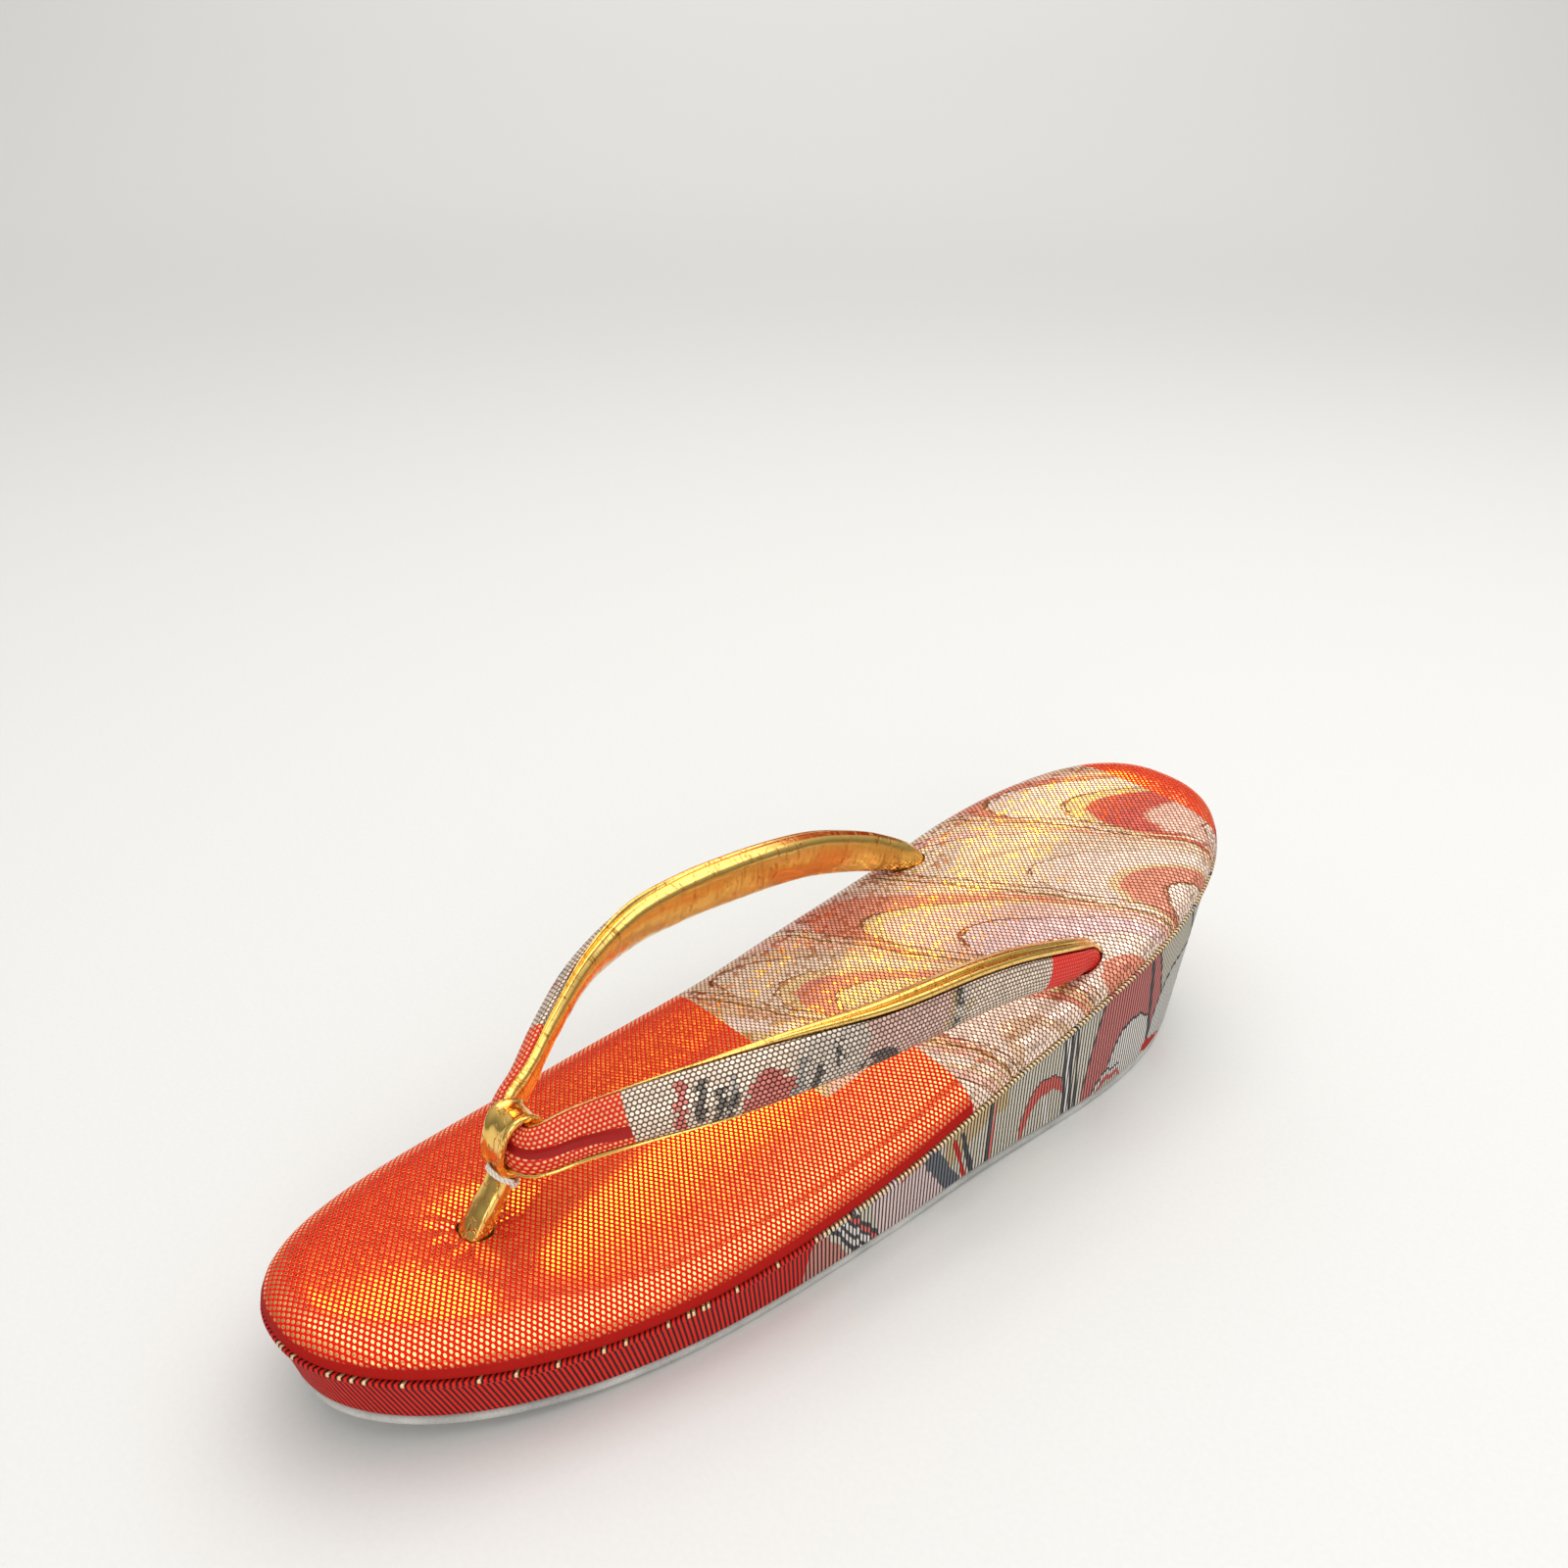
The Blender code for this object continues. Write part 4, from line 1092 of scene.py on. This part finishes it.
def arch(s, turn):
    """A point of the strap's rounded outer side and its outward way, degrees round from the upper edge."""
    split = s.thickness * (LINING_SHARE - 0.5)
    height = s.thickness / 2 - split
    over, out = math.cos(math.radians(turn)), max(math.sin(math.radians(turn)), 0.0)
    point = Vector((s.width / 2 * over, split + height * out**ARCH_FULLNESS))
    return point, Vector((over / s.width, out / height / 2)).normalized()


def turnover(at):
    """How far the lining is turned over the outer side's upper and lower edges, in degrees."""
    runs, uppers, lowers = zip(*TURNOVER)
    at = abs(at) * 1000
    return spline(runs, uppers, at), spline(runs, lowers, at)


def cover_section(s, at):
    """The brocade side: a full arch between the lining's edges, pinched lengthwise near the thong."""
    upper, lower = turnover(at)
    middle = COVER_ARC_STEPS // 2
    fading = ease((CREASE_END - abs(at)) / CREASE_END * 2)
    pinched = between(CREASE_FROM, CREASE_TO, min(abs(at) / CREASE_END, 1.0))
    points = []
    for i in range(COVER_ARC_STEPS + 1):
        if i < middle:
            turn = between(upper, 90, i / middle)
        else:
            turn = between(90, 180 - lower, (i - middle) / middle)
        aside = (turn - pinched) / CREASE_SPREAD
        point, out = arch(s, turn)
        points.append(point - out * CREASE_DEPTH * fading * math.exp(-aside * aside))
    low, high = points[-1].x + EDGE_LEAN, points[0].x - EDGE_LEAN
    level = s.thickness * (LINING_SHARE - 0.5) + PART_GAP / 2
    for i in range(1, FLAT_STEPS):
        points.append(Vector((between(low, high, i / FLAT_STEPS), level)))
    return points


def turned_edge(s, reach, side):
    """The lining's edge turned over the outer side, from the brocade out to the strap's edge."""
    size = min(reach / BEAD_FULL_FROM, 1.0) * s.width / STRAP_WIDTH
    points = []
    for i in range(TURNOVER_STEPS + 1):
        share = i / TURNOVER_STEPS
        point, out = arch(s, reach * (1 - share))
        if share < BEAD_SHARE:
            rise = BEAD_HEIGHT * math.sin(math.pi * share / BEAD_SHARE) ** BEAD_FULLNESS
        elif share < GROOVE_SHARE:
            rise = -GROOVE_DEPTH
        else:
            rise = ROLL_HEIGHT * math.sin(math.pi * (share - GROOVE_SHARE) / (1 - GROOVE_SHARE))
        point += out * (rise * size)
        points.append((point.x * side, point.y))
    return points


def lining_section(s, at):
    """The gold side: a shallow, slightly creased strip whose edges are turned over the brocade's."""
    upper, lower = turnover(at)
    split = s.thickness * (LINING_SHARE - 0.5)
    depth = s.thickness / 2 + split
    gap = math.degrees(EDGE_GAP / (s.thickness / 2))
    above = turned_edge(s, max(upper - gap, 1.0), 1)
    below = turned_edge(s, max(lower - gap, 1.0), -1)
    along, across = WRINKLE_GRAIN
    points = list(above)
    for i in range(1, LINING_ARC_STEPS):
        turn = math.pi * i / LINING_ARC_STEPS
        a = s.width / 2 * math.cos(turn)
        crease = WRINKLE * noise.noise(Vector((at / along, a / across, LINING_SLICE)))
        points.append((a, split - (depth + crease) * math.sin(turn) ** ARCH_FULLNESS))
    points += reversed(below)
    low = below[0][0] + EDGE_LEAN - EDGE_GAP
    high = above[0][0] - EDGE_LEAN + EDGE_GAP
    for i in range(FLAT_STEPS + 1):
        points.append((between(low, high, i / FLAT_STEPS), split - PART_GAP / 2))
    return points


def socket_section(s, at):
    """The strap's whole section with its fitting clearance, for the holes."""
    return oval(s.width / 2 + FIT_CLEARANCE, s.thickness / 2 + FIT_CLEARANCE, POST_POINTS)


def strap_coords(rings, stations, middle):
    """Places on the strap's cloth: along the strap from the thong, and round it from point middle."""
    run = lengths_along([s.centre for s in stations])
    coords = []
    for points, at in zip(rings, run):
        round_it = lengths_along([*points, points[0]])
        coords.append([(at - run[-1] / 2, r - round_it[middle]) for r in round_it])
    return coords


def make_strap(arm, brocade, gold):
    """The stuffed V strap: brocade over a gold lining, in one piece from hole to hole."""
    whole = [mirrored(s) for s in reversed(arm[1:])] + arm
    rings = sweep(whole, cover_section)
    coords = strap_coords(rings, whole, COVER_ARC_STEPS // 2)
    cover = to_object("strap_brocade", loft(rings, coords, "filled"), brocade)
    dress(cover, "strap_cover")
    rings = sweep(whole, lining_section)
    coords = strap_coords(rings, whole, 0)
    lining = to_object("strap_gold_lining", loft(rings, coords, "filled"), gold)
    dress(lining, "strap_lining")


def rear_sockets(arm, finish):
    """Cutters for the two rear holes, which follow the strap's ends down."""
    entry = []
    for s in arm:
        if s.centre.z - s.width / 2 < bed_height(s.centre.x, s.centre.y) + SOCKET_MOUTH:
            entry.append(s)
    last = entry[-1]
    entry.append(last._replace(centre=last.centre + SOCKET_SLOPE * FIT_CLEARANCE))
    made = []
    for name, stations in (("right_socket", entry), ("left_socket", [mirrored(s) for s in entry])):
        made.append(to_object(name, loft(sweep(stations, socket_section), None, "filled"), finish))
    return made


# The band of the thong's loop across its width: share of its half width, share of its thickness
BAND_PROFILE = (
    (-0.96, 0.10), (-1.00, 0.42), (-0.99, 0.85), (-0.92, 1.14), (-0.81, 1.22), (-0.70, 1.12), (-0.60, 0.90),
    (-0.45, 0.82), (-0.22, 0.86), (0.0, 0.90), (0.22, 0.86), (0.45, 0.82), (0.60, 0.90), (0.70, 1.12),
    (0.81, 1.22), (0.92, 1.14), (0.99, 0.85), (1.00, 0.42), (0.96, 0.10), (0.70, 0.02), (0.35, 0.0),
    (0.0, 0.0), (-0.35, 0.0), (-0.70, 0.02),
)


def thong_line():
    """The loop's rise and reach, and the post's foot and head."""
    tilt = math.radians(APEX_TILT)
    across = Vector((0, math.sin(tilt), math.cos(tilt)))
    out = Vector((0, -math.cos(tilt), math.sin(tilt)))
    rise = APEX_WIDTH / 2 + FIT_CLEARANCE
    head = APEX - across * (rise + BAND_THICKNESS / 2)
    hole = hole_centre(0.0, FRONT_HOLE_Y)
    down = (hole - head).normalized()
    foot = hole + down * THONG_SOCKET_SHARE * sole_depth(0.0, FRONT_HOLE_Y)
    return across, out, rise, foot, head


def post_rings(foot, head, wider, creased):
    """Rounded sections across the post between those points, slimmer at the head."""
    fore = (head - foot).normalized().cross(Vector((1, 0, 0)))
    middle, spread = POST_SEAM
    rings = []
    for step in range(POST_STEPS + 1):
        share = step / POST_STEPS
        slim = between(1.0, THONG_NECK_SHARE, ease(share))
        centre = foot.lerp(head, share)
        points = []
        for a, o in oval(THONG_WIDTH / 2 * slim + wider, THONG_THICKNESS / 2 * slim + wider, POST_POINTS):
            point = centre + Vector((a, 0, 0)) + fore * o
            if creased:
                seam = math.exp(-(((math.degrees(math.atan2(o, a)) - middle) / spread) ** 2))
                fold = noise.noise(Vector((a / CRUSH_GRAIN, o / CRUSH_GRAIN, share * CRUSH_CHANGES)))
                depth = POST_SEAM_DEPTH * seam + CRUSH_DEPTH * fold
                point -= (point - centre).normalized() * depth
            points.append(point)
        rings.append(points)
    return rings


def make_thong(finish):
    """The gold toe thong: a band with rolled edges looped round the strap, and its post."""
    across, out, rise, foot, head = thong_line()
    reach = APEX_THICKNESS / 2 + FIT_CLEARANCE
    bend_room = BEND_RADIUS * LOOP_ROOM_SHARE
    rings = []
    for side, height in BAND_PROFILE:
        offset = height * BAND_THICKNESS
        points = []
        for a, o in oval(rise + offset, reach + offset, LOOP_POINTS):
            if o < 0:
                o *= 1 + bend_room / reach
            lift = (a / (rise + offset) + 1) / 2
            width = between(BAND_FOOT_SHARE, 1.0, ease(lift))
            fading = 1 - ease(lift * GATHER_FADE)
            gather = GATHER_DEPTH * fading * math.cos(side * GATHER_COUNT) * height
            point = APEX + out * o + across * a + Vector((side * BAND_WIDTH / 2 * width, 0, 0))
            point += (out * o + across * a).normalized() * gather
            waver = noise.noise(Vector((a / WAVER_GRAIN, o / WAVER_GRAIN, side * WAVER_SHARE)))
            point.x += WAVER_DEPTH * waver
            points.append(point)
        rings.append(points)
    made = to_object("toe_thong", loft(rings, None, "joined"), finish)
    post = to_object("thong_post", loft(post_rings(foot, head, 0.0, True), None, "filled"), finish)
    shape(made, [post], "UNION")
    bpy.data.objects.remove(post)
    return dress(made, "front_thong")


def make_tie(finish):
    """Two turns of thread round the thong's neck, under the loop."""
    _, _, _, foot, head = thong_line()
    up = (head - foot).normalized()
    fore = up.cross(Vector((1, 0, 0)))
    centre = head - up * TIE_DROP
    off = TIE_STRAND + PART_GAP
    half_across = THONG_WIDTH / 2 * THONG_NECK_SHARE + off
    half_out = THONG_THICKNESS / 2 * THONG_NECK_SHARE + off
    steps = LOOP_POINTS // 2
    path = []
    for i in range(TIE_TURNS * steps + 1):
        turn = 2 * math.pi * i / steps
        lift = (i / steps - TIE_TURNS / 2) * TIE_STRAND * TIE_PITCH
        a = half_across * math.cos(turn)
        o = half_out * math.sin(turn)
        path.append(centre + Vector((a, 0, 0)) + fore * o + up * lift)
    run = lengths_along(path)
    rings, coords = [], []
    for i, point in enumerate(path):
        along = (path[min(i + 1, len(path) - 1)] - path[max(i - 1, 0)]).normalized()
        away = along.cross(up).normalized()
        over = away.cross(along)
        pairs = oval(TIE_STRAND, TIE_STRAND, TIE_SIDES)
        rings.append([point + away * p + over * q for p, q in pairs])
        around = [TIE_STRAND * 2 * math.pi * k / TIE_SIDES for k in range(TIE_SIDES + 1)]
        coords.append([(run[i], r) for r in around])
    made = to_object("thong_thread", loft(rings, coords, "filled"), finish)
    return dress(made, "thong_tie")


def make_sandal():
    """Every piece of the sandal."""
    leather = sole_leather()
    make_outsole(leather)
    arm = follow(arm_stations())
    _, _, _, foot, head = thong_line()
    down = (foot - head).normalized()
    front = post_rings(foot + down * FIT_CLEARANCE, head, FIT_CLEARANCE, False)
    sockets = rear_sockets(arm, leather)
    sockets.insert(0, to_object("thong_socket", loft(front, None, "filled"), leather))
    make_side(side_brocade(), sockets)
    make_bed(bed_brocade(), sockets)
    for socket in sockets:
        bpy.data.objects.remove(socket)
    foil = gold_foil("gold_foil_leather", True, LINING_CREASES, LINING_CREASE_DEPTH)
    make_strap(arm, strap_brocade(), foil)
    make_thong(gold_foil("crushed_gold_foil_leather", False, THONG_CREASES, THONG_CREASE_DEPTH))
    make_tie(cotton_thread())


# Stage, light and camera
CAMERA_TURN = -0.71319    # radians round from +X
CAMERA_RISE = 0.4561
CAMERA_DISTANCE = 0.42381
CAMERA_TARGET = Vector((-0.10599, 0.0821, 0.02))
CAMERA_ROLL = 0.02016
CAMERA_LENS = 32.83       # mm
SENSOR_WIDTH = 36.0       # mm
NEAREST_SEEN = 0.005      # metres from the lens
FLOOR_REACH = 2.5         # metres each way from the sandal
BACKDROP_BEND = 2.0
BACKDROP_SLOPE = 30       # degrees
BACKDROP_STEPS = 12
BACKDROP_LENGTH = 0.7
BEHIND_REACH = 3.0        # metres from the sandal to what the background's light falls on
BEHIND_HEIGHT = 2.0
BEHIND = Vector((-math.cos(CAMERA_TURN), -math.sin(CAMERA_TURN), 0.0)) * BEHIND_REACH
DAYLIGHT = (1.0, 1.0, 1.0)
STRIP_TINT = (1.0, 0.62, 0.10)
STUDIO_BOXES = (
    # name, place, what it points at and width and depth in metres, watts, tint, rays that miss it;
    # the golden strip is for the metal picks alone, and nothing matt is lit by it
    ("overhead", (0.08, 0.22, 0.85), (0.08, 0.22, 0.0), (1.1, 1.2), 6.0, DAYLIGHT, ()),
    ("strip", (-0.65, 0.40, 0.80), (-0.65, 0.40, 0.0), (0.20, 0.64), 2.9, STRIP_TINT, ("diffuse",)),
    ("background", BEHIND + Vector((0, 0, BEHIND_HEIGHT)), BEHIND, (3.6, 3.6), 32.0, DAYLIGHT, ("glossy",)),
    ("fill", (0.9, -0.7, 0.45), (0.0, 0.0, 0.03), (0.7, 0.6), 4.0, DAYLIGHT, ()),
)
ROOM_TINT = (0.97, 0.99, 1.0, 1.0)
ROOM_LOW = 0.14           # brightness level with the floor, and overhead
ROOM_HIGH = 0.80
ROOM_EVEN = 0.70          # brightness level for everything but reflections
# The far half of the foot bed mirrors a red card, which turns its gold picks to orange
CARD_WAY = Vector((-0.66, 0.55, 0.515)).normalized()
CARD_REACH = (38, 31)     # degrees from its middle to its rim, and to its full colour
CARD_TINT = (0.75, 0.045, 0.012, 1.0)


def make_camera():
    """The camera, where the photograph was taken from."""
    data = bpy.data.cameras.new("camera")
    data.lens = CAMERA_LENS
    data.sensor_width = SENSOR_WIDTH
    data.clip_start = NEAREST_SEEN
    camera = bpy.data.objects.new("camera", data)
    bpy.context.scene.collection.objects.link(camera)
    turned = Matrix.Rotation(CAMERA_TURN + math.pi / 2, 4, "Z")
    raised = Matrix.Rotation(math.pi / 2 - CAMERA_RISE, 4, "X")
    place = turned @ raised @ Matrix.Rotation(CAMERA_ROLL, 4, "Z")
    place.translation = CAMERA_TARGET + place @ Vector((0, 0, CAMERA_DISTANCE))
    camera.matrix_world = place
    bpy.context.scene.camera = camera


def make_floor(finish):
    """Pale paper that lies flat under the sandal and rises gently far behind it."""
    bm = bmesh.new()
    bmesh.ops.create_grid(bm, x_segments=1, y_segments=1, size=FLOOR_REACH)
    far = [edge for edge in bm.edges if all(vert.co.y > 0 for vert in edge.verts)]
    rise = math.radians(BACKDROP_SLOPE)
    bend = bmesh.ops.spin(
        bm, geom=far, cent=(0, FLOOR_REACH, BACKDROP_BEND), axis=(1, 0, 0), angle=rise,
        steps=BACKDROP_STEPS, use_merge=False,
    )
    last = [g for g in bend["geom_last"] if isinstance(g, bmesh.types.BMEdge)]
    grown = bmesh.ops.extrude_edge_only(bm, edges=last)["geom"]
    way = Vector((0, math.cos(rise), math.sin(rise))) * BACKDROP_LENGTH
    bmesh.ops.translate(bm, vec=way, verts=[g for g in grown if isinstance(g, bmesh.types.BMVert)])
    bmesh.ops.rotate(
        bm, cent=(0, 0, 0), matrix=Matrix.Rotation(CAMERA_TURN + math.pi / 2, 3, "Z"), verts=bm.verts
    )
    floor = to_object("floor", bm, finish)


def make_lights():
    """The studio's boxes, and a room that is even for all but reflections."""
    for name, place, aim, size, power, tint, unseen in STUDIO_BOXES:
        data = bpy.data.lights.new(name, "AREA")
        data.shape = "RECTANGLE"
        data.size, data.size_y = size
        data.energy = power
        data.color = tint
        light = bpy.data.objects.new(name, data)
        bpy.context.scene.collection.objects.link(light)
        light.location = place
        light.rotation_euler = (Vector(aim) - Vector(place)).to_track_quat("-Z", "Y").to_euler()
        for rays in ("camera", *unseen):
            setattr(light, "visible_" + rays, False)
    room = bpy.data.worlds.new("studio")
    bpy.context.scene.world = room
    room.use_nodes = True
    node = partial(add, room.node_tree)
    mirrored_ray = node("LightPath").outputs["Is Glossy Ray"]
    way = node("TexCoord").outputs["Generated"]
    height = node("SeparateXYZ", way).outputs["Z"]
    level = node("MapRange", height, 0, 1, ROOM_LOW, ROOM_HIGH)
    level = node("Mix", mirrored_ray, ROOM_EVEN, level)
    facing = node("VectorMath DOT_PRODUCT", way, CARD_WAY)
    rim, full = (math.cos(math.radians(angle)) for angle in CARD_REACH)
    card = node("MapRange SMOOTHSTEP", facing, rim, full)
    card = node("Math MULTIPLY", card, mirrored_ray)
    tint = node("Mix RGBA", card, ROOM_TINT, CARD_TINT)
    feed(room.node_tree.nodes["Background"], tint, level)


make_camera()
make_floor(studio_paper())
make_lights()
make_sandal()
bpy.context.scene.view_settings.view_transform = "Standard"
